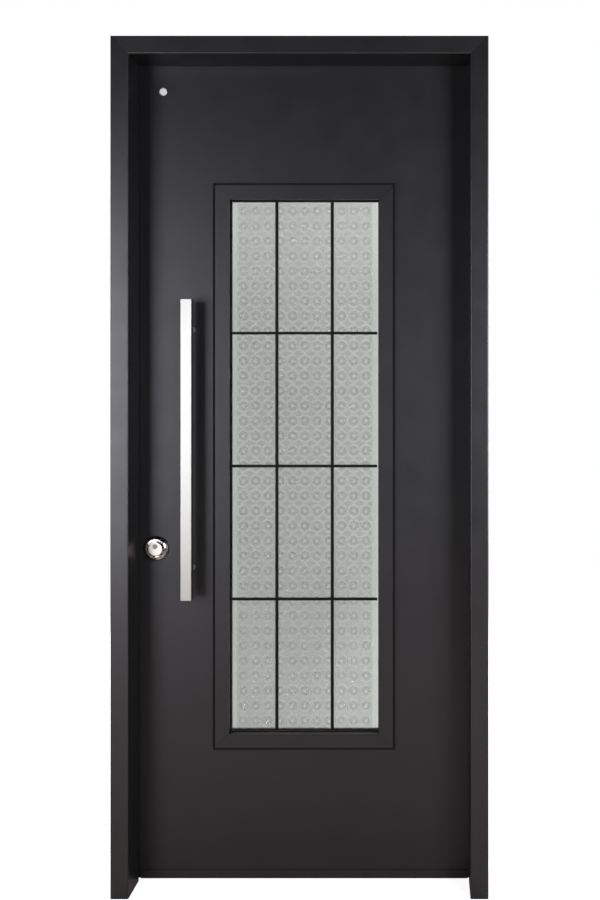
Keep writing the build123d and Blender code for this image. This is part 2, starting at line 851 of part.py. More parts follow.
def build_grille():
    """Two uprights with three crossbars halved into them, lying on the outer pane."""
    front = outer_pane_front - grille_thickness
    half_depth = outer_pane_front - grille_thickness / 2
    cross_half = sight_half_width - cross_bar_end_gap
    row = (sight_top - sight_bottom) / (cross_bar_count + 1)
    cross_heights = [sight_bottom + row * (index + 1) for index in range(cross_bar_count)]
    upright_half = sight_half_height - upright_bar_end_gap
    uprights = []
    crossbars = []
    upright_edges = []
    for side in (-1, 1):
        x = side * upright_bar_share * sight_half_width
        edges = (x - upright_bar_width / 2, x + upright_bar_width / 2)
        upright_edges.append(edges)
        low, high = window_height - upright_half, window_height + upright_half
        bar = block(*edges, front, outer_pane_front, low, high)
        for z in cross_heights:
            notch = (z - cross_bar_width / 2, z + cross_bar_width / 2)
            bar -= block(edges[0] - overrun, edges[1] + overrun, front - overrun, half_depth, *notch)
        uprights.append(bar)
    for z in cross_heights:
        ends = (z - cross_bar_width / 2, z + cross_bar_width / 2)
        bar = block(-cross_half, cross_half, front, outer_pane_front, *ends)
        for edges in upright_edges:
            bar -= block(*edges, half_depth, outer_pane_front + overrun, ends[0] - overrun, ends[1] + overrun)
        crossbars.append(bar)
    return {
        "grille_uprights": Compound(children=uprights),
        "grille_crossbars": Compound(children=crossbars),
    }


def build_handle():
    """A square pull bar on two posts, held by through bolts with caps on the inside."""
    half_side = handle_side / 2
    bar = block(
        handle_x - half_side,
        handle_x + half_side,
        handle_back - handle_side,
        handle_back,
        handle_bottom,
        handle_top,
    )
    bar = fillet(bar.edges(), handle_edge_round)
    bolt_tip_y = leaf_front - handle_bolt_engagement
    posts = []
    bolts = []
    for z in post_heights:
        post = slab(disc(handle_x, z, post_radius), handle_back, leaf_front)
        hole = slab(
            disc(handle_x, z, handle_bolt_radius + running_clearance), bolt_tip_y, leaf_front + overrun
        )
        posts.append(post - hole)
        shank = slab(disc(handle_x, z, handle_bolt_radius), bolt_tip_y, leaf_back)
        cap = slab(disc(handle_x, z, bolt_cap_radius), leaf_back, leaf_back + bolt_cap_thickness)
        rim = cap.edges().group_by(Axis.Y)[-1]
        bolts.append(shank + chamfer(rim, rosette_edge))
    return {
        "pull_handle_bar": bar,
        "pull_handle_posts": Compound(children=posts),
        "pull_handle_bolts": Compound(children=bolts),
    }


def build_rosettes():
    """The stepped outer lock rosette and the two plain inner rosettes."""
    face = leaf_front
    ring_middle = (rosette_radius + rosette_ring_radius) / 2
    dome_rise = rosette_rim + rosette_dome_share * (rosette_ring_height - rosette_rim)
    dome = ThreePointArc(
        (rosette_radius, face - rosette_rim),
        (ring_middle, face - dome_rise),
        (rosette_ring_radius, face - rosette_ring_height),
    )
    steps = Polyline(
        (rosette_ring_radius, face - rosette_ring_height),
        (rosette_groove_radius, face - rosette_ring_height),
        (rosette_groove_radius, face - rosette_groove_height),
        (rosette_boss_radius, face - rosette_groove_height),
        (rosette_boss_radius, face - rosette_boss_height),
        (0, face - rosette_boss_height),
        (0, face),
        (rosette_radius, face),
        (rosette_radius, face - rosette_rim),
    )
    outer = Pos(lock_x, 0, rosette_height) * revolve(make_face(dome + steps), axis=Axis.Y)
    boss_rim = outer.edges().filter_by(GeomType.CIRCLE).sort_by(Axis.Y)[0]
    outer = fillet(boss_rim, rosette_edge)
    outer -= slab(cylinder_outline(running_clearance), cylinder_outer_end, face + overrun)
    plug_hole = disc(lock_x, lock_height, plug_radius + moving_clearance)
    outer -= slab(plug_hole, face - rosette_boss_height - overrun, face)
    inner = slab(
        disc(lock_x, lock_height, inner_rosette_radius), leaf_back, leaf_back + inner_rosette_height
    )
    inner = chamfer(inner.edges().group_by(Axis.Y)[-1], rosette_edge)
    inner -= slab(cylinder_outline(running_clearance), leaf_back - overrun, cylinder_inner_end)
    inner -= slab(plug_hole, leaf_back, leaf_back + inner_rosette_height + overrun)
    lever = slab(
        disc(lock_x, lever_height, inner_rosette_radius), leaf_back, leaf_back + inner_rosette_height
    )
    lever = chamfer(lever.edges().group_by(Axis.Y)[-1], rosette_edge)
    rosette_span = (leaf_back - overrun, leaf_back + inner_rosette_height + overrun)
    lever -= lever_hole(*rosette_span, lever_neck_radius + moving_clearance)
    return {"lock_rosette": outer, "thumbturn_rosette": inner, "lever_rosette": lever}


def build_cylinder():
    """The profile cylinder: body with a gap for the gear, key plug and thumb-turn."""
    body = slab(cylinder_outline(0), cylinder_outer_end, cylinder_inner_end)
    bore = disc(lock_x, lock_height, plug_radius + running_clearance)
    body -= slab(bore, cylinder_outer_end - overrun, cylinder_inner_end + overrun)
    gap_reach = barrel_radius + overrun
    gap_bottom = lock_height - gear_tip_radius - moving_clearance
    body -= block(
        lock_x - gap_reach,
        lock_x + gap_reach,
        gear_front - moving_clearance,
        gear_back + moving_clearance,
        gap_bottom,
        lock_height + gap_reach,
    )
    plug_front = leaf_front - rosette_boss_height + plug_setback
    turn_base = leaf_back + inner_rosette_height + moving_clearance
    turn_top = turn_base + thumb_boss_height
    shaft_end = turn_top + thumb_wing_height / 2
    plug = slab(disc(lock_x, lock_height, plug_radius), plug_front, shaft_end)
    half_key = keyway_width / 2
    plug -= block(
        lock_x - half_key,
        lock_x + half_key,
        plug_front - overrun,
        plug_front + keyway_depth,
        lock_height - keyway_height / 2,
        lock_height + keyway_height / 2,
    )
    boss = slab(disc(lock_x, lock_height, thumb_boss_radius), turn_base, turn_top)
    half_wing = thumb_wing_width / 2
    end_offset = thumb_wing_length / 2 - half_wing
    low_end = disc(lock_x, lock_height - end_offset, half_wing)
    high_end = disc(lock_x, lock_height + end_offset, half_wing)
    wing_outline = make_hull((low_end + high_end).edges())
    wing = slab(wing_outline, turn_top, turn_top + thumb_wing_height)
    wing = fillet(wing.edges().group_by(Axis.Y)[-1], thumb_wing_round)
    socket = slab(bore, turn_base - overrun, shaft_end)
    return {"cylinder_body": body, "key_plug": plug, "thumbturn": boss + wing - socket}


def involute_angle(radius, base_radius):
    """The polar angle that an involute has turned through at a radius."""
    pressure = math.acos(base_radius / radius)
    return math.tan(pressure) - pressure


def gear_outline():
    """An involute spur gear outline centred on the origin, with one tooth on the x axis."""
    base_radius = pitch_radius * math.cos(math.radians(gear_pressure_angle))
    tooth_width = math.pi * gear_module / 2 - gear_backlash
    half_angle = tooth_width / 2 / pitch_radius + involute_angle(pitch_radius, base_radius)
    flank = []
    for index in range(flank_points):
        radius = base_radius + (gear_tip_radius - base_radius) * index / (flank_points - 1)
        angle = half_angle - involute_angle(radius, base_radius)
        flank.append((radius * math.cos(angle), radius * math.sin(angle)))
    mirrored = [(x, -y) for x, y in flank]
    inner_radius = gear_root_radius - gear_module / 2
    foot = (inner_radius * math.cos(half_angle), inner_radius * math.sin(half_angle))
    mirrored_foot = (foot[0], -foot[1])
    edges = [
        Line(mirrored_foot, mirrored[0]),
        Spline(*mirrored),
        ThreePointArc(mirrored[-1], (gear_tip_radius, 0), flank[-1]),
        Spline(*reversed(flank)),
        Line(flank[0], foot),
        Line(foot, mirrored_foot),
    ]
    tooth = make_face(Wire([edge.edge() for edge in edges]))
    outline = Sketch() + Circle(gear_root_radius)
    for index in range(gear_teeth):
        outline += Rot(0, 0, 360 / gear_teeth * index) * tooth
    return outline


def rack_outline(first, last, shift, depth):
    """A toothed bar drawn along x with its pitch line on y = 0 and its teeth pointing down."""
    pitch = math.pi * gear_module
    lean = math.tan(math.radians(gear_pressure_angle))
    half_tooth = (pitch / 2 - gear_backlash) / 2
    tip_half = half_tooth - gear_module * lean
    root_half = half_tooth + rack_depth * lean
    outline = rect(first, last, rack_depth, rack_depth + depth)
    start = math.ceil((first + root_half - shift) / pitch)
    end = math.floor((last - root_half - shift) / pitch)
    for index in range(start, end + 1):
        x = shift + index * pitch
        corners = [
            (x - root_half, rack_depth),
            (x - tip_half, -gear_module),
            (x + tip_half, -gear_module),
            (x + root_half, rack_depth),
        ]
        outline += make_face(Polyline(*corners, close=True))
    return outline


def build_gear():
    """The drive gear on the plug, between the two halves of the cylinder."""
    outline = gear_outline() - Circle(plug_radius + running_clearance)
    return {"drive_gear": slab(Pos(lock_x, lock_height) * outline, gear_front, gear_back)}


def build_main_bolts():
    """Four main bolts on a carriage with a rack along the top of the gear."""
    bolts = []
    bar = block(
        carriage_front,
        carriage_rear,
        plate_front,
        plate_front + carriage_thickness,
        main_bolt_heights[0] - bolt_radius,
        main_bolt_heights[-1] + bolt_radius,
    )
    for z in main_bolt_heights:
        bolt = bolt_shape(bolt_tip, carriage_front, bolt_line, z, bolt_radius, bolt_chamfer)
        bolts.append(bolt + along_x(carriage_front, carriage_rear, bolt_line, z, tenon_radius))
        bar -= along_x(
            carriage_front - overrun, carriage_rear + overrun, bolt_line, z, tenon_radius + running_clearance
        )
    rack = rack_outline(-rack_margin, carriage_front - lock_x, 0, rod_width)
    bar += slab(Pos(lock_x, main_rack_line) * rack, plate_front, plate_back)
    return {"main_bolts": Compound(children=bolts), "main_bolt_carriage": bar}


def rod_pin(x, z):
    """The pin on a rod that works in the slot of a side bolt plate."""
    return slab(disc(x, z, rod_pin_radius), rod_back, plate_back)


def build_rods():
    """The upper and lower rods: racks beside the gear, pins for the side bolts, and the top bolt."""
    half_width = rod_width / 2
    half_pitch = math.pi * gear_module / 2
    upper_rack = rack_outline(-throw - rack_margin, rack_margin, half_pitch, rod_width)
    upper_outline = Pos(upper_rod_pitch_line, lock_height) * Rot(0, 0, -90) * mirror(upper_rack, Plane.YZ)
    bolt_bottom = leaf_top - bolt_flush - top_bolt_length
    upper_outline += rect(
        upper_rod_middle - half_width, upper_rod_middle + half_width, lock_height, bolt_bottom
    )
    upper = slab(upper_outline, rod_front, rod_back) + rod_pin(upper_rod_middle, upper_side_bolt_height)
    bolt_y = (rod_front + rod_back) / 2
    top_bolt = along_z(upper_rod_middle, bolt_y, bolt_bottom, leaf_top - bolt_flush, top_bolt_radius)
    upper += chamfer(top_bolt.edges().group_by(Axis.Z)[-1], bolt_chamfer)
    lower_rack = rack_outline(-rack_margin, throw + rack_margin, half_pitch, rod_width)
    lower_outline = Pos(lower_rod_pitch_line, lock_height) * Rot(0, 0, 90) * lower_rack
    lower_outline += rect(
        lower_rod_middle - half_width,
        lower_rod_middle + half_width,
        lower_side_bolt_height - rod_end,
        lock_height,
    )
    lower = slab(lower_outline, rod_front, rod_back) + rod_pin(lower_rod_middle, lower_side_bolt_height)
    return {"upper_rod": upper, "lower_rod": lower}


def side_bolt(pin_x, height, rise):
    """Two bolts on a plate whose slanted slot turns the rod's travel into theirs."""
    slot_radius = rod_pin_radius + slot_clearance
    half_plate = side_bolt_pitch / 2 + bolt_radius
    plate_start = case_edge + case_wall + throw + plate_case_gap
    bolt_tail = plate_start + side_bolt_lap
    plate_end = pin_x + throw + slot_radius + plate_margin
    outline = rect(plate_start, plate_end, height - half_plate, height + half_plate)
    start = disc(pin_x, height, slot_radius)
    end = disc(pin_x + throw, height + rise * throw, slot_radius)
    outline -= make_hull((start + end).edges())
    piece = slab(outline, plate_front, plate_back)
    for z in side_bolt_heights(height):
        piece += bolt_shape(bolt_tip, bolt_tail, bolt_line, z, bolt_radius, bolt_chamfer)
    return piece


def build_side_bolts():
    """The side bolt units above and below the main lock."""
    return {
        "upper_side_bolt": side_bolt(upper_rod_middle, upper_side_bolt_height, 1),
        "lower_side_bolt": side_bolt(lower_rod_middle, lower_side_bolt_height, -1),
    }


def rod_slot(rod_middle, z0, z1):
    """A slot that guides a rod through the wall of a case."""
    half_width = rod_width / 2 + moving_clearance
    return block(
        rod_middle - half_width,
        rod_middle + half_width,
        rod_front - moving_clearance,
        rod_back + moving_clearance,
        z0,
        z1,
    )


def case_tray(rear, back, bottom, top):
    """An open sheet tray that stands on the inside of the lock stile."""
    blank = block(case_edge, rear, case_front, back, bottom, top)
    return offset(blank, amount=-case_wall, openings=blank.faces().sort_by(Axis.Y)[-1])


def build_cases():
    """The main lock case with its cover and faceplate, and the two side bolt cases."""
    cover_front = case_back - case_wall
    case = case_tray(case_rear, cover_front, case_bottom, case_top)
    front_cut = (case_edge - overrun, case_edge + case_wall + overrun)
    case -= main_bolt_holes(*front_cut, moving_clearance)
    case -= latch_hole(*front_cut, moving_clearance)
    floor_cut = (case_front - overrun, case_front + case_wall + overrun)
    case -= slab(cylinder_outline(moving_clearance), *floor_cut)
    case -= lever_hole(*floor_cut, journal_radius + running_clearance)
    case -= rod_slot(upper_rod_middle, case_top - case_wall - overrun, case_top + overrun)
    case -= rod_slot(lower_rod_middle, case_bottom - overrun, case_bottom + case_wall + overrun)
    cover = block(case_edge, case_rear, cover_front, case_back, case_bottom, case_top)
    cover_cut = (cover_front - overrun, case_back + overrun)
    cover -= slab(cylinder_outline(moving_clearance), *cover_cut)
    cover -= lever_hole(*cover_cut, journal_radius + running_clearance)
    low, high = faceplate_ends()
    half_plate = faceplate_width / 2
    plate_edges = (bolt_line - half_plate, bolt_line + half_plate)
    plate = block(lock_edge, lock_edge + skin_sheet, *plate_edges, low, high)
    plate = fillet(plate.edges().filter_by(Axis.X), faceplate_corner)
    plate_cut = (lock_edge - overrun, lock_edge + skin_sheet + overrun)
    plate -= main_bolt_holes(*plate_cut, moving_clearance)
    plate -= latch_hole(*plate_cut, moving_clearance)
    side_cases = []
    for rod_middle, height in (
        (upper_rod_middle, upper_side_bolt_height),
        (lower_rod_middle, lower_side_bolt_height),
    ):
        half_case = side_bolt_pitch / 2 + bolt_radius + case_margin
        plate_end = rod_middle + throw + rod_pin_radius + slot_clearance + plate_margin
        rear = plate_end + case_margin + case_wall
        tray = case_tray(rear, case_back, height - half_case, height + half_case)
        tray -= side_bolt_holes(*front_cut, moving_clearance)
        ends = (height - half_case - overrun, height + half_case + overrun)
        tray -= rod_slot(rod_middle, *ends)
        side_cases.append(tray)
    return {
        "lock_case": case,
        "lock_case_cover": cover,
        "lock_faceplate": plate,
        "side_bolt_cases": Compound(children=side_cases),
    }


def build_latch():
    """The spring latch: a bevelled nose, and a tail over the hub with a lug for the finger."""
    low, high = lever_height - latch_height / 2, lever_height + latch_height / 2
    nose_root = lock_edge - moving_clearance
    plan = [
        (latch_tip, latch_back),
        (latch_tip, latch_back - latch_nose),
        (nose_root, latch_front),
        (latch_rear, latch_front),
        (latch_rear, latch_back),
    ]
    body = extrude(Pos(0, 0, low) * make_face(Polyline(*plan, close=True)), amount=high - low)
    lug_start = lock_x + finger_width / 2 + finger_lug_gap
    lug_end = lug_start + lug_width
    arm = block(latch_rear - tail_arm_width, latch_rear, plate_front, plate_back, lever_height, tail_top)
    tail = block(latch_rear - tail_arm_width, lug_end, plate_front, plate_back, tail_bottom, tail_top)
    lug_bottom = lever_height + hub_radius + lug_hub_gap
    lug = block(lug_start, lug_end, plate_front, plate_back, lug_bottom, tail_top)
    return {"latch": body + arm + tail + lug}


def build_lever():
    """The inside lever: grip, neck and the spindle with the finger that draws the latch."""
    inner_front = case_front + case_wall + moving_clearance
    inner_back = case_back - case_wall - moving_clearance
    hub = slab(disc(lock_x, lever_height, hub_radius), inner_front, inner_back)
    half_finger = finger_width / 2
    finger_outline = rect(
        lock_x - half_finger, lock_x + half_finger, lever_height, lever_height + finger_reach
    )
    journal = slab(disc(lock_x, lever_height, journal_radius), case_front, case_back)
    half_square = spindle_side / 2
    neck_front = lid_front
    grip_front = leaf_back + lever_stand
    square_end = neck_front + spindle_engagement
    square = rect(
        lock_x - half_square,
        lock_x + half_square,
        lever_height - half_square,
        lever_height + half_square,
    )
    spindle = hub + slab(finger_outline, plate_front, plate_back) + journal
    spindle += slab(square, case_back, square_end)
    neck = slab(disc(lock_x, lever_height, lever_neck_radius), neck_front, grip_front)
    tip = disc(lock_x + lever_grip_length, lever_height, lever_tip_radius)
    grip_outline = make_hull((disc(lock_x, lever_height, lever_grip_radius) + tip).edges())
    grip = slab(grip_outline, grip_front, grip_front + lever_grip_thickness)
    grip = fillet(grip.edges().group_by(Axis.Y)[0] + grip.edges().group_by(Axis.Y)[-1], lever_round)
    half_socket = half_square + running_clearance
    socket = rect(
        lock_x - half_socket,
        lock_x + half_socket,
        lever_height - half_socket,
        lever_height + half_socket,
    )
    handle = grip + neck - slab(socket, neck_front - overrun, square_end)
    return {"lever_handle": handle, "lever_spindle": spindle}


def build_door():
    """Every piece of the door, by name."""
    pieces = {}
    for maker in (
        build_frame,
        build_frame_seals,
        build_strike_plates,
        build_hinges,
        build_skins,
        build_leaf_channels,
        build_leaf_trim,
        build_window,
        build_grille,
        build_handle,
        build_rosettes,
        build_cylinder,
        build_gear,
        build_main_bolts,
        build_rods,
        build_side_bolts,
        build_cases,
        build_latch,
        build_lever,
    ):
        pieces.update(maker())
    return pieces


os.makedirs("parts", exist_ok=True)
for node, shape in build_door().items():
    export_step(shape, f"parts/{node}.step")
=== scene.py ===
"""A steel security door in its frame: finishes, glass relief, screws, light and camera."""

import json
import math

import bmesh
import bpy
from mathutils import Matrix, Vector


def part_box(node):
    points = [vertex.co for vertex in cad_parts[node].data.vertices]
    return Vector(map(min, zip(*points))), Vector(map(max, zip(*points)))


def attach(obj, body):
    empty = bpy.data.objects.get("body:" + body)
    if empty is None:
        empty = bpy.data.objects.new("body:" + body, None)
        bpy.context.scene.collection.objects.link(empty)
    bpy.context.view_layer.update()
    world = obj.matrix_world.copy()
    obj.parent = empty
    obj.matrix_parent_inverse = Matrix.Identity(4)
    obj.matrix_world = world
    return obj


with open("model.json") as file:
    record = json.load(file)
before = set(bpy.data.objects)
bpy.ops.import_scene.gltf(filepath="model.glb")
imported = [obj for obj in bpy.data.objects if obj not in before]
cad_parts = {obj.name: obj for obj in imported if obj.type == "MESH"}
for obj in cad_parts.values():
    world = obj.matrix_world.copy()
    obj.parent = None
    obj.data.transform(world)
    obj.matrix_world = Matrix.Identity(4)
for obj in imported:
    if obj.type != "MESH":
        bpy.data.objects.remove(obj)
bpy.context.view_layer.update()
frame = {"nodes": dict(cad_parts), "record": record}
nodes = frame["nodes"]
scene = bpy.context.scene

# Photograph frame, in pixels, and the camera that took it
PHOTO_WIDTH = 600
PHOTO_HEIGHT = 900
EYE_PIXEL = (425, 385)
FOCAL_PIXELS = 1106.3
CAMERA_PLACE = (0.312, -2.759, 1.277)

# Relief of the patterned glass
RELIEF_PITCH_X = 0.0318
RELIEF_PITCH_Z = 0.0389
RELIEF_COLUMNS = 11
RELIEF_ROWS = 35
RELIEF_GAP = 0.00005
HEXAGON_SIDES = 6
HEXAGON_HALF_WIDTH = 0.0154
HEXAGON_HALF_HEIGHT = 0.0186
HEXAGON_RIDGE = 0.0012
RING_SIDES = 14
RING_RADIUS = 0.0088
RING_RIDGE = 0.0022
RIDGE_SIDES = 6
RIDGE_FLATTEN = 0.04
DOT_RADIUS = 0.0044
DOT_SEGMENTS = 10
DOT_RINGS = 5
DOT_FLATTEN = 0.025

# Painted light and shade of the pattern, standing for the light the relief bends, as shares of the
# glass's own tone: plain margin, ground and what each form adds
MARGIN_TONE = 0.95
GROUND_TONE = 0.86
HEXAGON_EDGE = 0.97
LINE_TONE = 0.14
LINE_SPREAD = (0.03, 0.24)
DIAMOND_TONE = -0.06
DIAMOND_SPREAD = (1.04, 1.2)
RING_TONE = -0.09
RING_SPREAD = (0.0006, 0.004)
CENTRE_TONE = 0.08
CENTRE_SPREAD = (0.002, 0.006)

# Height above the pane's middle where the painted pattern is clearest, where it fades and what is left
# of it; the fading towards top and bottom is painted light
FADE_MIDDLE = 0.1
FADE_SPREAD = (0.2, 0.55)
FADE_LEFT = 0.6

# Blank disc near the leaf's top corner
DISC_RADIUS = 0.010
DISC_RISE = 0.0018
DISC_INSET_X = 0.0735
DISC_INSET_Z = 0.0785

# Front of the lock rosette's boss: its radius, its soft edge and the roughness of its satin face
BOSS_RADIUS = 0.0172
BOSS_EDGE = 0.0004
BOSS_SATIN = 0.3

# Screw heads: shares of the head's radius
SCREW_RADIUS = 0.0042
BEAD_SCREW_RADIUS = 0.0034
SCREW_SIDES = 24
SCREW_RIM = 0.08
SCREW_SHOULDER = (0.86, 0.24)
SCREW_CROWN = (0.62, 0.30)
SCREW_SOCKET = (0.46, 0.05)
BEAD_SCREW_PITCH = 0.23
PLATE_SCREW_SPREAD = 0.014
PLATE_SCREW_INSETS = (0.010, 0.030)
HINGE_PLATE = 0.004
FACEPLATE_SCREW_INSET = 0.012

# Paint, rubber and plastic: colours, fine peel, soft mottling and cloud, and slanting scuffs
BLACK_PAINT = (0.003, 0.0029, 0.0032)
GRILLE_BLACK = (0.0022, 0.0022, 0.0024)
DUST = (0.075, 0.072, 0.07, 1.0)
PEEL_SCALE = 900.0
PEEL_DEPTH = 0.0002
MOTTLE_SCALE = 3.2
MOTTLE_TONE = (0.86, 1.14)
CLOUD_SCALE = 17.0
CLOUD_ROUGHNESS = (-0.045, 0.045)
SCUFF_STRETCH = (38.0, 38.0, 5.0)
SCUFF_SLANT = (0.0, math.radians(24.0), 0.0)
SCUFF_SCALE = 2.6
SCUFF_SPREAD = (0.66, 0.78)
SCUFF_ROUGHNESS = 0.12

# Bare metal: its lines when brushed or cast, the smear over them, and when a face counts as a side
BRUSHED_LINES = (1600.0, 1600.0, 8.0)
CAST_LINES = (240.0, 240.0, 240.0)
GRAIN_DEPTH = 0.00005
GRAIN_TONE = (0.96, 1.03)
GRAIN_ROUGHNESS = (-0.025, 0.03)
SMEAR_SCALE = 14.0
SMEAR_TONE = (-0.03, 0.03)
SMEAR_ROUGHNESS = (-0.02, 0.03)
SIDE_FACING = (0.5, 0.9)

# Glass: its refraction, the slow change of its tone and the waves in its roughness
GLASS_IOR = 1.46
CAST_SCALE = 2.1
CAST_TONE = (0.93, 1.05)
WAVE_SCALE = 9.0
WAVE_SHARE = (0.8, 1.2)

# Directions and turns: straight up, the plane of the leaf, and turns of a quarter and a twelfth
UPRIGHT = (0.0, 0.0, 1.0)
LEAF_PLANE = (1.0, 0.0, 1.0)
QUARTER_TURN = math.radians(90.0)
TWELFTH_TURN = math.radians(30.0)

# Studio floor: half its width, its tone, its glow to the camera and its look in metal and in glass
FLOOR_REACH = 4.6
FLOOR_CLOUD = 1.3
FLOOR_TONE = (0.78, 0.82)
FLOOR_GLOW = 0.8
FLOOR_ROUGHNESS = 0.9
WARM_FLOOR = (0.62, 0.53, 0.47, 1.0)
FLOOR_IN_GLASS = (0.97, 1.18, -0.3, 0.05)
WHITE = (1.0, 1.0, 1.0, 1.0)

# Light of the room, as two levels and the two directions between which it changes
ROOM_BY_HEIGHT = (1.0, 0.4, 0.06, 0.5)
ROOM_BEHIND = (0.01, 0.8, -0.3, 0.4)
ROOM_AT_SIDES = (0.0, 0.8, 0.72, 0.9)
ROOM_FILL = 0.2
GLASS_LEVEL = 0.98
GLASS_ABOVE = (0.0, 0.2, 0.06, 0.16)
GLASS_BESIDE = (0.0, 0.16, -0.12, -0.05)

# Lamps: name, place, the point it looks at, width and height, power and tint
COOL_WHITE = (1.0, 0.985, 1.085)
PLAIN_WHITE = (1.0, 1.0, 1.0)
LAMPS = (
    ("left_softbox", (-1.65, -2.75, 1.25), (-0.3, 0.0, 1.1), (1.2, 1.6), 58.0, COOL_WHITE),
    ("right_softbox", (2.02, -2.5, 1.4), (0.3, 0.0, 1.1), (1.25, 1.4), 94.0, COOL_WHITE),
    ("inside_left", (-1.7, 2.8, 1.7), (0.0, 0.1, 1.1), (1.4, 1.8), 70.0, PLAIN_WHITE),
    ("inside_right", (2.0, 2.7, 1.4), (0.0, 0.1, 1.1), (1.2, 1.8), 70.0, PLAIN_WHITE),
)


def add(tree, kind, inputs=None, **settings):
    """A new node with its settings, its input values and the links into it."""
    made = tree.nodes.new(kind)
    for name, value in settings.items():
        setattr(made, name, value)
    for name, value in (inputs or {}).items():
        socket = made.inputs[name]
        if isinstance(value, bpy.types.NodeSocket):
            tree.links.new(value, socket)
        else:
            socket.default_value = value
    return made


def math_node(tree, operation, first, second=0.0):
    """The result of one sum on two values."""
    made = add(tree, "ShaderNodeMath", {0: first, 1: second}, operation=operation)
    return made.outputs[0]


def vector_node(tree, operation, first, second):
    """The result of one sum on two vectors."""
    made = add(tree, "ShaderNodeVectorMath", {0: first, 1: second}, operation=operation)
    return made.outputs["Vector"]


def length_node(tree, vector):
    """The length of a vector."""
    return add(tree, "ShaderNodeVectorMath", {0: vector}, operation="LENGTH").outputs["Value"]


def group_tree(name, kind, inputs, outputs):
    """An empty node group with named sockets: the tree, its input node and its output node."""
    tree = bpy.data.node_groups.new(name, kind)
    for label, socket, value in inputs:
        made = tree.interface.new_socket(name=label, in_out="INPUT", socket_type=socket)
        if value is not None:
            made.default_value = value
    for label, socket in outputs:
        tree.interface.new_socket(name=label, in_out="OUTPUT", socket_type=socket)
    return tree, tree.nodes.new("NodeGroupInput"), tree.nodes.new("NodeGroupOutput")


def noise(tree, vector, scale, detail=2.0, roughness=0.5):
    """A noise value over the surface."""
    made = add(
        tree,
        "ShaderNodeTexNoise",
        {"Vector": vector, "Scale": scale, "Detail": detail, "Roughness": roughness},
    )
    return made.outputs["Fac"]


def ranged(tree, value, low, high, from_low=0.0, from_high=1.0, soft=False):
    """A value carried from one range to another, with soft ends if asked."""
    made = add(
        tree,
        "ShaderNodeMapRange",
        {"Value": value, "From Min": from_low, "From Max": from_high, "To Min": low, "To Max": high},
        interpolation_type="SMOOTHSTEP" if soft else "LINEAR",
    )
    return made.outputs["Result"]


def split_axes(tree, vector):
    """The three parts of a vector."""
    return add(tree, "ShaderNodeSeparateXYZ", {"Vector": vector}).outputs


def blend(tree, factor, first, second):
    """A value between two others."""
    made = add(tree, "ShaderNodeMix", {0: factor, 2: first, 3: second}, data_type="FLOAT")
    return made.outputs[0]


def powder_coat_group():
    """Fine orange peel, soft mottling and faint handling marks of a powder-coated sheet."""
    tree, given, result = group_tree(
        "powder_coat",
        "ShaderNodeTree",
        [
            ("Base", "NodeSocketColor", (0.02, 0.02, 0.02, 1.0)),
            ("Peel Scale", "NodeSocketFloat", PEEL_SCALE),
            ("Gloss", "NodeSocketFloat", 0.34),
            ("Marks", "NodeSocketFloat", 0.3),
        ],
        [
            ("Color", "NodeSocketColor"),
            ("Roughness", "NodeSocketFloat"),
            ("Height", "NodeSocketFloat"),
        ],
    )
    place = add(tree, "ShaderNodeTexCoord").outputs["Object"]
    peel = noise(tree, place, given.outputs["Peel Scale"], detail=1.0)
    mottle = noise(tree, place, MOTTLE_SCALE, detail=3.0)
    cloud = noise(tree, place, CLOUD_SCALE)
    stretch = add(
        tree,
        "ShaderNodeMapping",
        {"Vector": place, "Scale": SCUFF_STRETCH, "Rotation": SCUFF_SLANT},
    ).outputs["Vector"]
    scuff = noise(tree, stretch, SCUFF_SCALE, detail=5.0, roughness=0.7)
    scuff = ranged(tree, scuff, 0.0, 1.0, *SCUFF_SPREAD)
    scuff = math_node(tree, "MULTIPLY", scuff, given.outputs["Marks"])
    shade = ranged(tree, mottle, *MOTTLE_TONE)
    tinted = vector_node(tree, "MULTIPLY", given.outputs["Base"], shade)
    dusted = add(tree, "ShaderNodeMix", {"Factor": scuff, "A": tinted, "B": DUST}, data_type="RGBA")
    tree.links.new(dusted.outputs["Result"], result.inputs["Color"])
    rough = math_node(tree, "ADD", given.outputs["Gloss"], ranged(tree, cloud, *CLOUD_ROUGHNESS))
    rough = math_node(tree, "ADD", rough, math_node(tree, "MULTIPLY", scuff, SCUFF_ROUGHNESS))
    tree.links.new(rough, result.inputs["Roughness"])
    tree.links.new(peel, result.inputs["Height"])
    return tree


def brushed_grain_group():
    """Fine lines of brushing along one direction, as tone, roughness and height."""
    tree, given, result = group_tree(
        "brushed_grain",
        "ShaderNodeTree",
        [
            ("Base", "NodeSocketColor", (0.6, 0.6, 0.6, 1.0)),
            ("Line Scale", "NodeSocketVector", BRUSHED_LINES),
            ("Gloss", "NodeSocketFloat", 0.25),
        ],
        [
            ("Color", "NodeSocketColor"),
            ("Roughness", "NodeSocketFloat"),
            ("Height", "NodeSocketFloat"),
        ],
    )
    place = add(tree, "ShaderNodeTexCoord").outputs["Object"]
    lines = vector_node(tree, "MULTIPLY", place, given.outputs["Line Scale"])
    grain = noise(tree, lines, 1.0)
    smear = noise(tree, place, SMEAR_SCALE, detail=3.0)
    tone = math_node(tree, "ADD", ranged(tree, grain, *GRAIN_TONE), ranged(tree, smear, *SMEAR_TONE))
    tree.links.new(vector_node(tree, "MULTIPLY", given.outputs["Base"], tone), result.inputs["Color"])
    rough = math_node(tree, "ADD", given.outputs["Gloss"], ranged(tree, grain, *GRAIN_ROUGHNESS))
    rough = math_node(tree, "ADD", rough, ranged(tree, smear, *SMEAR_ROUGHNESS))
    tree.links.new(rough, result.inputs["Roughness"])
    tree.links.new(grain, result.inputs["Height"])
    return tree


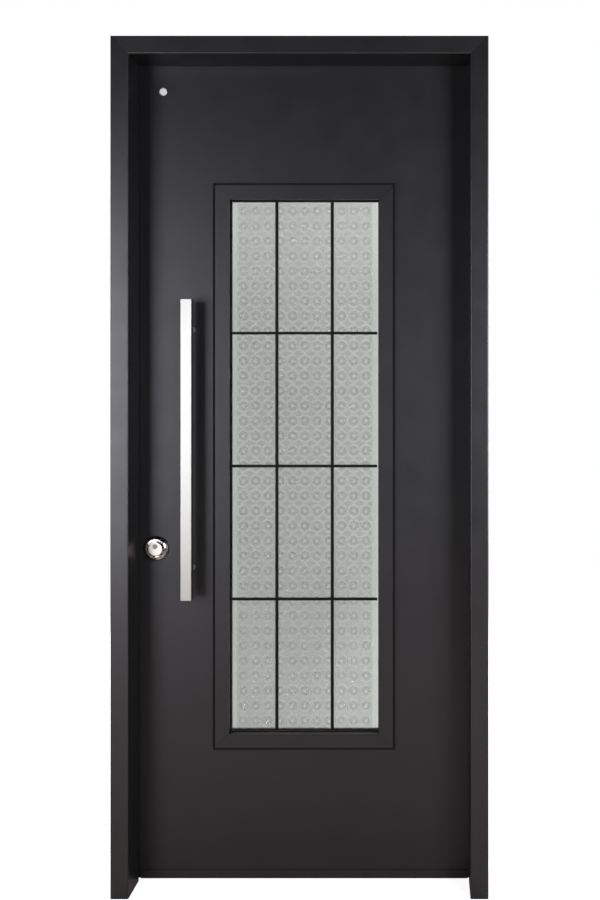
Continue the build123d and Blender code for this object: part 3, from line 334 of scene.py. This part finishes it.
def painted_relief_shade_group():
    """Painted light and shade of the glass relief: light hexagon lines, a dark ring in each and a light
    centre.
    """
    tree, given, result = group_tree(
        "painted_relief_shade",
        "ShaderNodeTree",
        [
            ("Centre", "NodeSocketVector", (0.0, 0.0, 0.0)),
            ("Pitch X", "NodeSocketFloat", RELIEF_PITCH_X),
            ("Pitch Z", "NodeSocketFloat", RELIEF_PITCH_Z),
            ("Half Width", "NodeSocketFloat", HEXAGON_HALF_WIDTH),
            ("Half Height", "NodeSocketFloat", HEXAGON_HALF_HEIGHT),
            ("Ring Radius", "NodeSocketFloat", RING_RADIUS),
        ],
        [("Tone", "NodeSocketFloat")],
    )
    get = given.outputs
    place = add(tree, "ShaderNodeTexCoord").outputs["Object"]
    axes = split_axes(tree, vector_node(tree, "SUBTRACT", place, get["Centre"]))

    def in_cell(value, pitch):
        """How far a point is from the middle of its cell."""
        cells = math_node(tree, "DIVIDE", value, pitch)
        share = math_node(tree, "SUBTRACT", cells, math_node(tree, "ROUND", cells))
        return math_node(tree, "ABSOLUTE", math_node(tree, "MULTIPLY", share, pitch))

    across = in_cell(axes["X"], get["Pitch X"])
    up = in_cell(axes["Z"], get["Pitch Z"])
    flat = add(tree, "ShaderNodeCombineXYZ", {"X": across, "Y": up}).outputs["Vector"]
    radius = length_node(tree, flat)
    across_share = math_node(tree, "DIVIDE", across, get["Half Width"])
    up_share = math_node(tree, "DIVIDE", up, get["Half Height"])
    slant = math_node(tree, "ADD", up_share, math_node(tree, "MULTIPLY", across_share, 0.5))
    hexagon = math_node(tree, "MAXIMUM", across_share, slant)
    # Painted highlight along the hexagon lines, painted shade on the diamond ground and the ring, and a
    # painted light centre, for the light the relief bends.
    line = math_node(tree, "ABSOLUTE", math_node(tree, "SUBTRACT", hexagon, HEXAGON_EDGE))
    line = ranged(tree, line, LINE_TONE, 0.0, *LINE_SPREAD, soft=True)
    diamond = ranged(tree, hexagon, 0.0, DIAMOND_TONE, *DIAMOND_SPREAD, soft=True)
    ring = math_node(tree, "ABSOLUTE", math_node(tree, "SUBTRACT", radius, get["Ring Radius"]))
    ring = ranged(tree, ring, RING_TONE, 0.0, *RING_SPREAD, soft=True)
    centre = ranged(tree, radius, CENTRE_TONE, 0.0, *CENTRE_SPREAD, soft=True)
    straight_forms = math_node(tree, "ADD", line, diamond)
    round_forms = math_node(tree, "ADD", ring, centre)
    tone = math_node(tree, "ADD", straight_forms, round_forms)
    inside_x = math_node(
        tree,
        "LESS_THAN",
        math_node(tree, "ABSOLUTE", axes["X"]),
        math_node(tree, "MULTIPLY", get["Pitch X"], RELIEF_COLUMNS / 2),
    )
    inside_z = math_node(
        tree,
        "LESS_THAN",
        math_node(tree, "ABSOLUTE", axes["Z"]),
        math_node(tree, "MULTIPLY", get["Pitch Z"], RELIEF_ROWS / 2),
    )
    inside = math_node(tree, "MULTIPLY", inside_x, inside_z)
    # Painted light: the pattern's painted shade and highlights fade away from the middle, towards the
    # top and bottom.
    away = math_node(tree, "ABSOLUTE", math_node(tree, "SUBTRACT", axes["Z"], FADE_MIDDLE))
    fade = ranged(tree, away, 1.0, FADE_LEFT, *FADE_SPREAD, soft=True)
    tone = math_node(tree, "MULTIPLY", tone, math_node(tree, "MULTIPLY", inside, fade))
    # Painted shade: the patterned ground is darker than the plain margin.
    ground = ranged(tree, inside, MARGIN_TONE, GROUND_TONE)
    tree.links.new(math_node(tree, "ADD", tone, ground), result.inputs["Tone"])
    return tree


POWDER_COAT = powder_coat_group()
BRUSHED_GRAIN = brushed_grain_group()
PAINTED_RELIEF_SHADE = painted_relief_shade_group()


def new_material(name):
    """An empty node material: its tree and its surface shader."""
    made = bpy.data.materials.new(name)
    made.use_nodes = True
    tree = made.node_tree
    return made, tree, tree.nodes["Principled BSDF"]


def use_group(tree, group, values):
    """A shared group placed in a material with its own values."""
    made = tree.nodes.new("ShaderNodeGroup")
    made.node_tree = group
    for name, value in values.items():
        made.inputs[name].default_value = value
    return made


def dress(tree, shader, group, strength, distance):
    """Feeds a group's colour, roughness and relief to the surface shader."""
    tree.links.new(group.outputs["Color"], shader.inputs["Base Color"])
    tree.links.new(group.outputs["Roughness"], shader.inputs["Roughness"])
    bump = add(
        tree,
        "ShaderNodeBump",
        {"Strength": strength, "Distance": distance, "Height": group.outputs["Height"]},
    )
    tree.links.new(bump.outputs["Normal"], shader.inputs["Normal"])


def powder_coat(name, base, gloss, marks, specular=0.5):
    """Satin powder coat on sheet steel."""
    made, tree, shader = new_material(name)
    shader.inputs["Specular IOR Level"].default_value = specular
    values = {"Base": (*base, 1.0), "Peel Scale": PEEL_SCALE, "Gloss": gloss, "Marks": marks}
    dress(tree, shader, use_group(tree, POWDER_COAT, values), strength=0.12, distance=PEEL_DEPTH)
    return made


def bare_metal(name, base, gloss, line_scale, strength=0.1, stretch=0.0, side_gloss=1.0):
    """A metal with fine lines; upright ones stretch its reflections, and its sides may be smoother."""
    made, tree, shader = new_material(name)
    shader.inputs["Metallic"].default_value = 1.0
    shader.inputs["Anisotropic"].default_value = stretch
    if stretch:
        face = add(tree, "ShaderNodeNewGeometry").outputs["Normal"]
        tree.links.new(vector_node(tree, "CROSS_PRODUCT", face, UPRIGHT), shader.inputs["Tangent"])
    values = {"Base": (*base, 1.0), "Line Scale": line_scale, "Gloss": gloss}
    grain = use_group(tree, BRUSHED_GRAIN, values)
    dress(tree, shader, grain, strength, distance=GRAIN_DEPTH)
    if side_gloss != 1.0:
        sideways = split_axes(tree, add(tree, "ShaderNodeTexCoord").outputs["Normal"])["X"]
        share = ranged(tree, math_node(tree, "ABSOLUTE", sideways), 1.0, side_gloss, *SIDE_FACING)
        rough = math_node(tree, "MULTIPLY", grain.outputs["Roughness"], share)
        tree.links.new(rough, shader.inputs["Roughness"])
    return made


def rosette_nickel():
    """Polished nickel with a satin front on the rosette's boss."""
    made, tree, shader = new_material("rosette_nickel")
    shader.inputs["Metallic"].default_value = 1.0
    low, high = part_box("lock_rosette")
    place = add(tree, "ShaderNodeTexCoord").outputs["Object"]
    offset = vector_node(tree, "SUBTRACT", place, (low + high) / 2)
    radius = length_node(tree, vector_node(tree, "MULTIPLY", offset, LEAF_PLANE))
    values = {"Base": (0.62, 0.595, 0.53, 1.0), "Line Scale": CAST_LINES, "Gloss": 0.08}
    grain = use_group(tree, BRUSHED_GRAIN, values)
    dress(tree, shader, grain, strength=0.03, distance=GRAIN_DEPTH)
    satin = ranged(tree, radius, BOSS_SATIN, 0.0, BOSS_RADIUS, BOSS_RADIUS + BOSS_EDGE)
    rough = math_node(tree, "ADD", grain.outputs["Roughness"], satin)
    tree.links.new(rough, shader.inputs["Roughness"])
    return made


def seal_rubber():
    """Matte black rubber with a dusty bloom."""
    made, tree, shader = new_material("seal_rubber")
    shader.inputs["Specular IOR Level"].default_value = 0.12
    values = {"Base": (0.0045, 0.0045, 0.0045, 1.0), "Peel Scale": 1600.0, "Gloss": 0.72, "Marks": 0.06}
    dress(tree, shader, use_group(tree, POWDER_COAT, values), strength=0.2, distance=PEEL_DEPTH)
    return made


def block_plastic():
    """Grey moulded plastic of the setting blocks."""
    made, tree, shader = new_material("block_plastic")
    values = {"Base": (0.08, 0.08, 0.085, 1.0), "Peel Scale": 1100.0, "Gloss": 0.5, "Marks": 0.15}
    dress(tree, shader, use_group(tree, POWDER_COAT, values), strength=0.15, distance=PEEL_DEPTH)
    return made


def glass(name, tint, roughness, patterned=False, specular=0.5):
    """Sheet glass with a faint cast, and where it is patterned, the painted light and shade of its
    relief.
    """
    made, tree, shader = new_material(name)
    place = add(tree, "ShaderNodeTexCoord").outputs["Object"]
    wave = noise(tree, place, WAVE_SCALE)
    cast = noise(tree, place, CAST_SCALE)
    tone = ranged(tree, cast, *CAST_TONE)
    # Where the glass is patterned, its colour carries the painted light and shade of the relief.
    if patterned:
        low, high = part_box("outer_pane")
        values = {"Centre": (low + high) / 2}
        tone = math_node(tree, "MULTIPLY", tone, use_group(tree, PAINTED_RELIEF_SHADE, values).outputs["Tone"])
    tree.links.new(vector_node(tree, "MULTIPLY", tint, tone), shader.inputs["Base Color"])
    rough = ranged(tree, wave, roughness * WAVE_SHARE[0], roughness * WAVE_SHARE[1])
    tree.links.new(rough, shader.inputs["Roughness"])
    shader.inputs["Specular IOR Level"].default_value = specular
    shader.inputs["Transmission Weight"].default_value = 1.0
    shader.inputs["IOR"].default_value = GLASS_IOR
    return made


MATERIALS = {
    "frame_paint": powder_coat("frame_paint", BLACK_PAINT, gloss=0.36, marks=0.25, specular=0.6),
    "leaf_paint": powder_coat("leaf_paint", BLACK_PAINT, gloss=0.42, marks=0.12),
    "glazing_paint": powder_coat("glazing_paint", BLACK_PAINT, gloss=0.42, marks=0.1),
    "grille_paint": powder_coat("grille_paint", GRILLE_BLACK, gloss=0.5, marks=0.0, specular=0.12),
    "hinge_paint": powder_coat("hinge_paint", BLACK_PAINT, gloss=0.38, marks=0.2),
    "seal_rubber": seal_rubber(),
    "stainless": bare_metal(
        "stainless",
        (0.395, 0.4, 0.368),
        gloss=0.42,
        line_scale=BRUSHED_LINES,
        strength=0.05,
        stretch=0.5,
    ),
    "polished_nickel": bare_metal(
        "polished_nickel", (0.82, 0.8, 0.76), gloss=0.12, line_scale=CAST_LINES, strength=0.03
    ),
    "zinc_steel": bare_metal(
        "zinc_steel", (0.56, 0.57, 0.59), gloss=0.38, line_scale=(60.0, 60.0, 420.0)
    ),
    "bearing_brass": bare_metal(
        "bearing_brass", (0.68, 0.5, 0.24), gloss=0.26, line_scale=(300.0, 300.0, 1500.0)
    ),
    "spacer_aluminium": bare_metal(
        "spacer_aluminium", (0.62, 0.62, 0.63), gloss=0.35, line_scale=(500.0, 500.0, 20.0)
    ),
    "patterned_glass": glass("patterned_glass", (0.575, 0.589, 0.568), roughness=0.14, patterned=True),
    "clear_glass": glass("clear_glass", (0.88, 0.895, 0.885), roughness=0.04),
    "block_plastic": block_plastic(),
}
RELIEF_GLASS = glass("relief_glass", (0.97, 0.98, 0.974), roughness=0.12, specular=0.0)
ROSETTE_NICKEL = rosette_nickel()
DISC_STEEL = bare_metal(
    "disc_steel", (0.86, 0.855, 0.84), gloss=0.52, line_scale=BRUSHED_LINES, strength=0.05
)
PLUG_NICKEL = bare_metal(
    "plug_nickel", (0.2, 0.19, 0.18), gloss=0.3, line_scale=CAST_LINES, strength=0.03
)
HANDLE_STEEL = bare_metal(
    "handle_steel",
    (0.412, 0.418, 0.384),
    gloss=0.42,
    line_scale=BRUSHED_LINES,
    strength=0.05,
    stretch=0.5,
    side_gloss=0.25,
)
HEAD_PAINT = powder_coat("head_paint", BLACK_PAINT, gloss=0.42, marks=0.25, specular=0.55)


def paint_nodes():
    """Gives each CAD piece the finish of its slot, or its own shade of it."""
    own_finish = {
        "key_plug": PLUG_NICKEL,
        "lock_rosette": ROSETTE_NICKEL,
        "pull_handle_bar": HANDLE_STEEL,
        "frame_head": HEAD_PAINT,
    }
    slot_of = {part["node"]: part["material_slot"] for part in frame["record"]["subparts"]}
    for name, piece in nodes.items():
        piece.data.materials.clear()
        piece.data.materials.append(own_finish.get(name, MATERIALS[slot_of[name]]))


def geometry_tree(name, inputs):
    """An empty Geometry Nodes tree with one geometry output."""
    return group_tree(name, "GeometryNodeTree", inputs, [("Geometry", "NodeSocketGeometry")])


def baked(name, tree, values, source=None):
    """Runs a Geometry Nodes tree and returns its result as a plain mesh object."""
    maker = bpy.data.objects.new(name + "_maker", source or bpy.data.meshes.new(name + "_source"))
    scene.collection.objects.link(maker)
    modifier = maker.modifiers.new("make", "NODES")
    modifier.node_group = tree
    for item in tree.interface.items_tree:
        if item.item_type == "SOCKET" and item.in_out == "INPUT" and item.name in values:
            modifier[item.identifier] = values[item.name]
    evaluated = maker.evaluated_get(bpy.context.evaluated_depsgraph_get())
    mesh = bpy.data.meshes.new_from_object(evaluated)
    mesh.name = name
    bpy.data.objects.remove(maker)
    piece = bpy.data.objects.new(name, mesh)
    scene.collection.objects.link(piece)
    return piece


def ridge(tree, sides, turn, scale, section_radius):
    """A closed ridge of a flattened round section, standing in the plane of the leaf."""
    path = add(tree, "GeometryNodeCurvePrimitiveCircle", {"Resolution": sides, "Radius": 1.0})
    turned = add(
        tree,
        "GeometryNodeTransform",
        {"Geometry": path.outputs["Curve"], "Rotation": (0.0, 0.0, turn)},
    )
    sized = add(
        tree, "GeometryNodeTransform", {"Geometry": turned.outputs["Geometry"], "Scale": (*scale, 1.0)}
    )
    section = add(
        tree, "GeometryNodeCurvePrimitiveCircle", {"Resolution": RIDGE_SIDES, "Radius": section_radius}
    )
    swept = add(
        tree,
        "GeometryNodeCurveToMesh",
        {"Curve": sized.outputs["Geometry"], "Profile Curve": section.outputs["Curve"]},
    )
    flat = add(
        tree,
        "GeometryNodeTransform",
        {
            "Geometry": swept.outputs["Mesh"],
            "Rotation": (QUARTER_TURN, 0.0, 0.0),
            "Scale": (1.0, 1.0, RIDGE_FLATTEN),
        },
    )
    return flat.outputs["Geometry"]


def relief_tree():
    """A grid of cells, each a hexagon ridge round a ring and a centre dot."""
    tree, given, result = geometry_tree(
        "glass_relief",
        [
            ("Pitch X", "NodeSocketFloat", RELIEF_PITCH_X),
            ("Pitch Z", "NodeSocketFloat", RELIEF_PITCH_Z),
            ("Columns", "NodeSocketInt", RELIEF_COLUMNS),
            ("Rows", "NodeSocketInt", RELIEF_ROWS),
            ("Centre", "NodeSocketVector", (0.0, 0.0, 0.0)),
            ("Finish", "NodeSocketMaterial", None),
        ],
    )
    get = given.outputs
    gaps_across = math_node(tree, "SUBTRACT", get["Columns"], 1.0)
    gaps_up = math_node(tree, "SUBTRACT", get["Rows"], 1.0)
    width = math_node(tree, "MULTIPLY", get["Pitch X"], gaps_across)
    height = math_node(tree, "MULTIPLY", get["Pitch Z"], gaps_up)
    grid = add(
        tree,
        "GeometryNodeMeshGrid",
        {"Size X": width, "Size Y": height, "Vertices X": get["Columns"], "Vertices Y": get["Rows"]},
    )
    upright = add(
        tree,
        "GeometryNodeTransform",
        {
            "Geometry": grid.outputs["Mesh"],
            "Translation": get["Centre"],
            "Rotation": (QUARTER_TURN, 0.0, 0.0),
        },
    )
    hexagon_scale = (HEXAGON_HALF_WIDTH / math.cos(TWELFTH_TURN), HEXAGON_HALF_HEIGHT)
    hexagon = ridge(tree, HEXAGON_SIDES, QUARTER_TURN, hexagon_scale, HEXAGON_RIDGE)
    ring = ridge(tree, RING_SIDES, 0.0, (RING_RADIUS, RING_RADIUS), RING_RIDGE)
    ball = add(
        tree,
        "GeometryNodeMeshUVSphere",
        {"Segments": DOT_SEGMENTS, "Rings": DOT_RINGS, "Radius": DOT_RADIUS},
    )
    dot = add(
        tree,
        "GeometryNodeTransform",
        {"Geometry": ball.outputs["Mesh"], "Scale": (1.0, DOT_FLATTEN, 1.0)},
    )
    cell = add(tree, "GeometryNodeJoinGeometry")
    for part in (hexagon, ring, dot.outputs["Geometry"]):
        tree.links.new(part, cell.inputs["Geometry"])
    placed = add(
        tree,
        "GeometryNodeInstanceOnPoints",
        {"Points": upright.outputs["Geometry"], "Instance": cell.outputs["Geometry"]},
    )
    finish_instances(tree, placed.outputs["Instances"], get["Finish"], result)
    return tree


def finish_instances(tree, instances, finish, result):
    """Realizes the instances, smooths them and gives them their finish."""
    real = add(tree, "GeometryNodeRealizeInstances", {"Geometry": instances})
    smooth = add(tree, "GeometryNodeSetShadeSmooth", {"Geometry": real.outputs["Geometry"]})
    dressed = add(
        tree,
        "GeometryNodeSetMaterial",
        {"Geometry": smooth.outputs["Geometry"], "Material": finish},
    )
    tree.links.new(dressed.outputs["Geometry"], result.inputs["Geometry"])


def glass_relief():
    """The raised pattern on the outside of the outer pane."""
    low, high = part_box("outer_pane")
    half_rise = max(HEXAGON_RIDGE, RING_RIDGE) * RIDGE_FLATTEN
    centre = ((low.x + high.x) / 2, low.y - half_rise - RELIEF_GAP, (low.z + high.z) / 2)
    piece = baked("glass_relief", relief_tree(), {"Centre": centre, "Finish": RELIEF_GLASS})
    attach(piece, "leaf")


def turned_mesh(name, rings):
    """A closed mesh turned about Z from rings of radius, height and whether it is six-sided."""
    shape = bmesh.new()
    loops = []
    for radius, height, six_sided in rings:
        loop = []
        for step in range(SCREW_SIDES):
            angle = math.tau * step / SCREW_SIDES
            reach = radius
            if six_sided:
                within = angle % math.radians(60.0) - TWELFTH_TURN
                reach = radius * math.cos(TWELFTH_TURN) / math.cos(within)
            loop.append(shape.verts.new((reach * math.cos(angle), reach * math.sin(angle), height)))
        loops.append(loop)
    for first, second in zip(loops, loops[1:]):
        for step in range(SCREW_SIDES):
            after = (step + 1) % SCREW_SIDES
            shape.faces.new((first[step], first[after], second[after], second[step]))
    shape.faces.new(reversed(loops[0]))
    shape.faces.new(loops[-1])
    mesh = bpy.data.meshes.new(name)
    shape.to_mesh(mesh)
    shape.free()
    return mesh


def screw_head(name, radius):
    """A low button head with a six-sided socket."""
    rings = [
        (radius, 0.0, False),
        (radius, radius * SCREW_RIM, False),
        (radius * SCREW_SHOULDER[0], radius * SCREW_SHOULDER[1], False),
        (radius * SCREW_CROWN[0], radius * SCREW_CROWN[1], False),
        (radius * SCREW_SOCKET[0], radius * SCREW_CROWN[1], True),
        (radius * SCREW_SOCKET[0], radius * SCREW_SOCKET[1], True),
    ]
    return turned_mesh(name, rings)


def screw_tree():
    """A head set on each point, turned to its surface."""
    tree, given, result = geometry_tree(
        "screw_rows",
        [
            ("Points", "NodeSocketGeometry", None),
            ("Head", "NodeSocketObject", None),
            ("Turn", "NodeSocketVector", (0.0, 0.0, 0.0)),
            ("Finish", "NodeSocketMaterial", None),
        ],
    )
    get = given.outputs
    head = add(tree, "GeometryNodeObjectInfo", {"Object": get["Head"]})
    turn = add(tree, "FunctionNodeEulerToRotation", {"Euler": get["Turn"]})
    placed = add(
        tree,
        "GeometryNodeInstanceOnPoints",
        {
            "Points": get["Points"],
            "Instance": head.outputs["Geometry"],
            "Rotation": turn.outputs["Rotation"],
        },
    )
    finish_instances(tree, placed.outputs["Instances"], get["Finish"], result)
    return tree


SCREW_TREE = screw_tree()
TURN_OUT_OF_EDGE = (0.0, -QUARTER_TURN, 0.0)
TURN_INSIDE = (-QUARTER_TURN, 0.0, 0.0)


def screws(name, places, turn, radius, body):
    """A set of screw heads on one body."""
    points = bpy.data.meshes.new(name + "_points")
    points.from_pydata(places, [], [])
    head = bpy.data.objects.new(name + "_head", screw_head(name + "_head", radius))
    scene.collection.objects.link(head)
    values = {"Head": head, "Turn": turn, "Finish": MATERIALS["zinc_steel"]}
    piece = baked(name, SCREW_TREE, values, points)
    bpy.data.objects.remove(head)
    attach(piece, body)


def faceplate_screws():
    """Two screws in the lock's faceplate, on the leaf's edge."""
    low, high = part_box("lock_faceplate")
    middle = (low.y + high.y) / 2
    ends = (low.z + FACEPLATE_SCREW_INSET, high.z - FACEPLATE_SCREW_INSET)
    places = [(low.x, middle, height) for height in ends]
    screws("faceplate_screws", places, TURN_OUT_OF_EDGE, SCREW_RADIUS, "leaf")


def hinge_screws():
    """Four screws in each leaf plate and two in each frame plate."""
    leaf_places = []
    frame_places = []
    leaf_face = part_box("leaf_inner_skin")[1].y + HINGE_PLATE
    frame_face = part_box("frame_hinge_jamb")[1].y + HINGE_PLATE
    for level in ("bottom", "middle", "top"):
        low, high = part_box(f"hinge_{level}_leaf_knuckle")
        middle = (low.z + high.z) / 2
        for inset in PLATE_SCREW_INSETS:
            for offset in (-PLATE_SCREW_SPREAD, PLATE_SCREW_SPREAD):
                leaf_places.append((low.x + inset, leaf_face, middle + offset))
        low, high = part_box(f"hinge_{level}_frame_knuckle")
        middle = (low.z + high.z) / 2
        for offset in (-PLATE_SCREW_SPREAD, PLATE_SCREW_SPREAD):
            frame_places.append((high.x - PLATE_SCREW_INSETS[0], frame_face, middle + offset))
    screws("leaf_plate_screws", leaf_places, TURN_INSIDE, SCREW_RADIUS, "leaf")
    screws("frame_plate_screws", frame_places, TURN_INSIDE, SCREW_RADIUS, "frame")


def bead_screws():
    """A row of screws along each inner glazing bead."""
    low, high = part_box("inner_glazing_beads")
    inset = (high.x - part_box("pane_spacer")[1].x) / 2
    rows = (high.z - low.z - 2 * inset) / BEAD_SCREW_PITCH
    columns = (high.x - low.x - 2 * inset) / BEAD_SCREW_PITCH
    places = []
    for step in range(round(rows) + 1):
        height = low.z + inset + (high.z - low.z - 2 * inset) * step / round(rows)
        places.append((low.x + inset, high.y, height))
        places.append((high.x - inset, high.y, height))
    for step in range(1, round(columns)):
        across = low.x + inset + (high.x - low.x - 2 * inset) * step / round(columns)
        places.append((across, high.y, low.z + inset))
        places.append((across, high.y, high.z - inset))
    screws("bead_screws", places, TURN_INSIDE, BEAD_SCREW_RADIUS, "leaf")


def blank_disc():
    """A plain bright disc near the top corner of the leaf, on the lock side."""
    low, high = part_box("leaf_outer_skin")
    rings = [
        (DISC_RADIUS, 0.0, False),
        (DISC_RADIUS, DISC_RISE / 2, False),
        (DISC_RADIUS - DISC_RISE / 2, DISC_RISE, False),
        (DISC_RADIUS / 2, DISC_RISE, False),
    ]
    mesh = turned_mesh("blank_disc", rings)
    face = Vector((low.x + DISC_INSET_X, low.y, high.z - DISC_INSET_Z))
    for point in mesh.vertices:
        point.co = face + Vector((point.co.x, -point.co.z, point.co.y))
    mesh.materials.append(DISC_STEEL)
    piece = bpy.data.objects.new("blank_disc", mesh)
    scene.collection.objects.link(piece)
    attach(piece, "leaf")


def floor():
    """A pale floor that keeps the door's shadow and meets the white background."""
    bpy.ops.mesh.primitive_plane_add(size=2 * FLOOR_REACH, location=(0.0, 0.0, 0.0))
    piece = bpy.context.object
    piece.name = "studio_floor"
    made, tree, shader = new_material("studio_floor")
    place = add(tree, "ShaderNodeTexCoord").outputs["Object"]
    path = add(tree, "ShaderNodeLightPath").outputs
    tone = ranged(tree, noise(tree, place, FLOOR_CLOUD), *FLOOR_TONE)
    warmed = add(
        tree,
        "ShaderNodeMix",
        {"Factor": path["Is Glossy Ray"], "A": tone, "B": WARM_FLOOR},
        data_type="RGBA",
    )
    tree.links.new(warmed.outputs["Result"], shader.inputs["Base Color"])
    shader.inputs["Roughness"].default_value = FLOOR_ROUGHNESS
    shader.inputs["Emission Color"].default_value = WHITE
    glow = math_node(tree, "MULTIPLY", path["Is Camera Ray"], FLOOR_GLOW)
    tree.links.new(glow, shader.inputs["Emission Strength"])
    beside = ranged(tree, split_axes(tree, place)["X"], *FLOOR_IN_GLASS, soft=True)
    white = add(tree, "ShaderNodeEmission", {"Color": WHITE, "Strength": beside})
    mixed = add(
        tree,
        "ShaderNodeMixShader",
        {0: path["Is Transmission Ray"], 1: shader.outputs["BSDF"], 2: white.outputs["Emission"]},
    )
    tree.links.new(mixed.outputs["Shader"], tree.nodes["Material Output"].inputs["Surface"])
    piece.data.materials.append(made)


def world_light():
    """White to the camera, a soft room to reflections and even light to the rest."""
    world = bpy.data.worlds.new("studio_world")
    scene.world = world
    world.use_nodes = True
    tree = world.node_tree
    path = add(tree, "ShaderNodeLightPath").outputs
    axes = split_axes(tree, add(tree, "ShaderNodeTexCoord").outputs["Generated"])
    height = ranged(tree, axes["Z"], *ROOM_BY_HEIGHT, soft=True)
    facing = ranged(tree, axes["Y"], *ROOM_BEHIND, soft=True)
    sides = ranged(tree, math_node(tree, "ABSOLUTE", axes["X"]), *ROOM_AT_SIDES, soft=True)
    room = math_node(tree, "MULTIPLY", height, math_node(tree, "MAXIMUM", facing, sides))
    level = blend(tree, path["Is Glossy Ray"], ROOM_FILL, room)
    above = ranged(tree, axes["Z"], *GLASS_ABOVE, soft=True)
    beside = ranged(tree, axes["X"], *GLASS_BESIDE, soft=True)
    behind = math_node(tree, "ADD", GLASS_LEVEL, math_node(tree, "ADD", above, beside))
    level = blend(tree, path["Is Transmission Ray"], level, behind)
    background = tree.nodes["Background"]
    background.inputs["Color"].default_value = WHITE
    tree.links.new(blend(tree, path["Is Camera Ray"], level, 1.0), background.inputs["Strength"])


def softbox(name, place, target, size, power, tint):
    """A rectangular area light that looks at a point."""
    light = bpy.data.lights.new(name, "AREA")
    light.shape = "RECTANGLE"
    light.size = size[0]
    light.size_y = size[1]
    light.energy = power
    light.color = tint
    lamp = bpy.data.objects.new(name, light)
    lamp.location = place
    lamp.rotation_euler = (Vector(target) - Vector(place)).to_track_quat("-Z", "Y").to_euler()
    lamp.visible_camera = False
    lamp.visible_transmission = False
    scene.collection.objects.link(lamp)


def camera():
    """A level camera that sees the door as the photograph does."""
    data = bpy.data.cameras.new("camera")
    data.lens = data.sensor_width * FOCAL_PIXELS / PHOTO_HEIGHT
    data.shift_x = (PHOTO_WIDTH / 2 - EYE_PIXEL[0]) / PHOTO_HEIGHT
    data.shift_y = (EYE_PIXEL[1] - PHOTO_HEIGHT / 2) / PHOTO_HEIGHT
    made = bpy.data.objects.new("camera", data)
    made.location = CAMERA_PLACE
    made.rotation_euler = (QUARTER_TURN, 0.0, 0.0)
    scene.collection.objects.link(made)
    scene.camera = made


paint_nodes()
glass_relief()
faceplate_screws()
hinge_screws()
bead_screws()
blank_disc()
floor()
world_light()
for lamp in LAMPS:
    softbox(*lamp)
camera()
scene.view_settings.view_transform = "Standard"
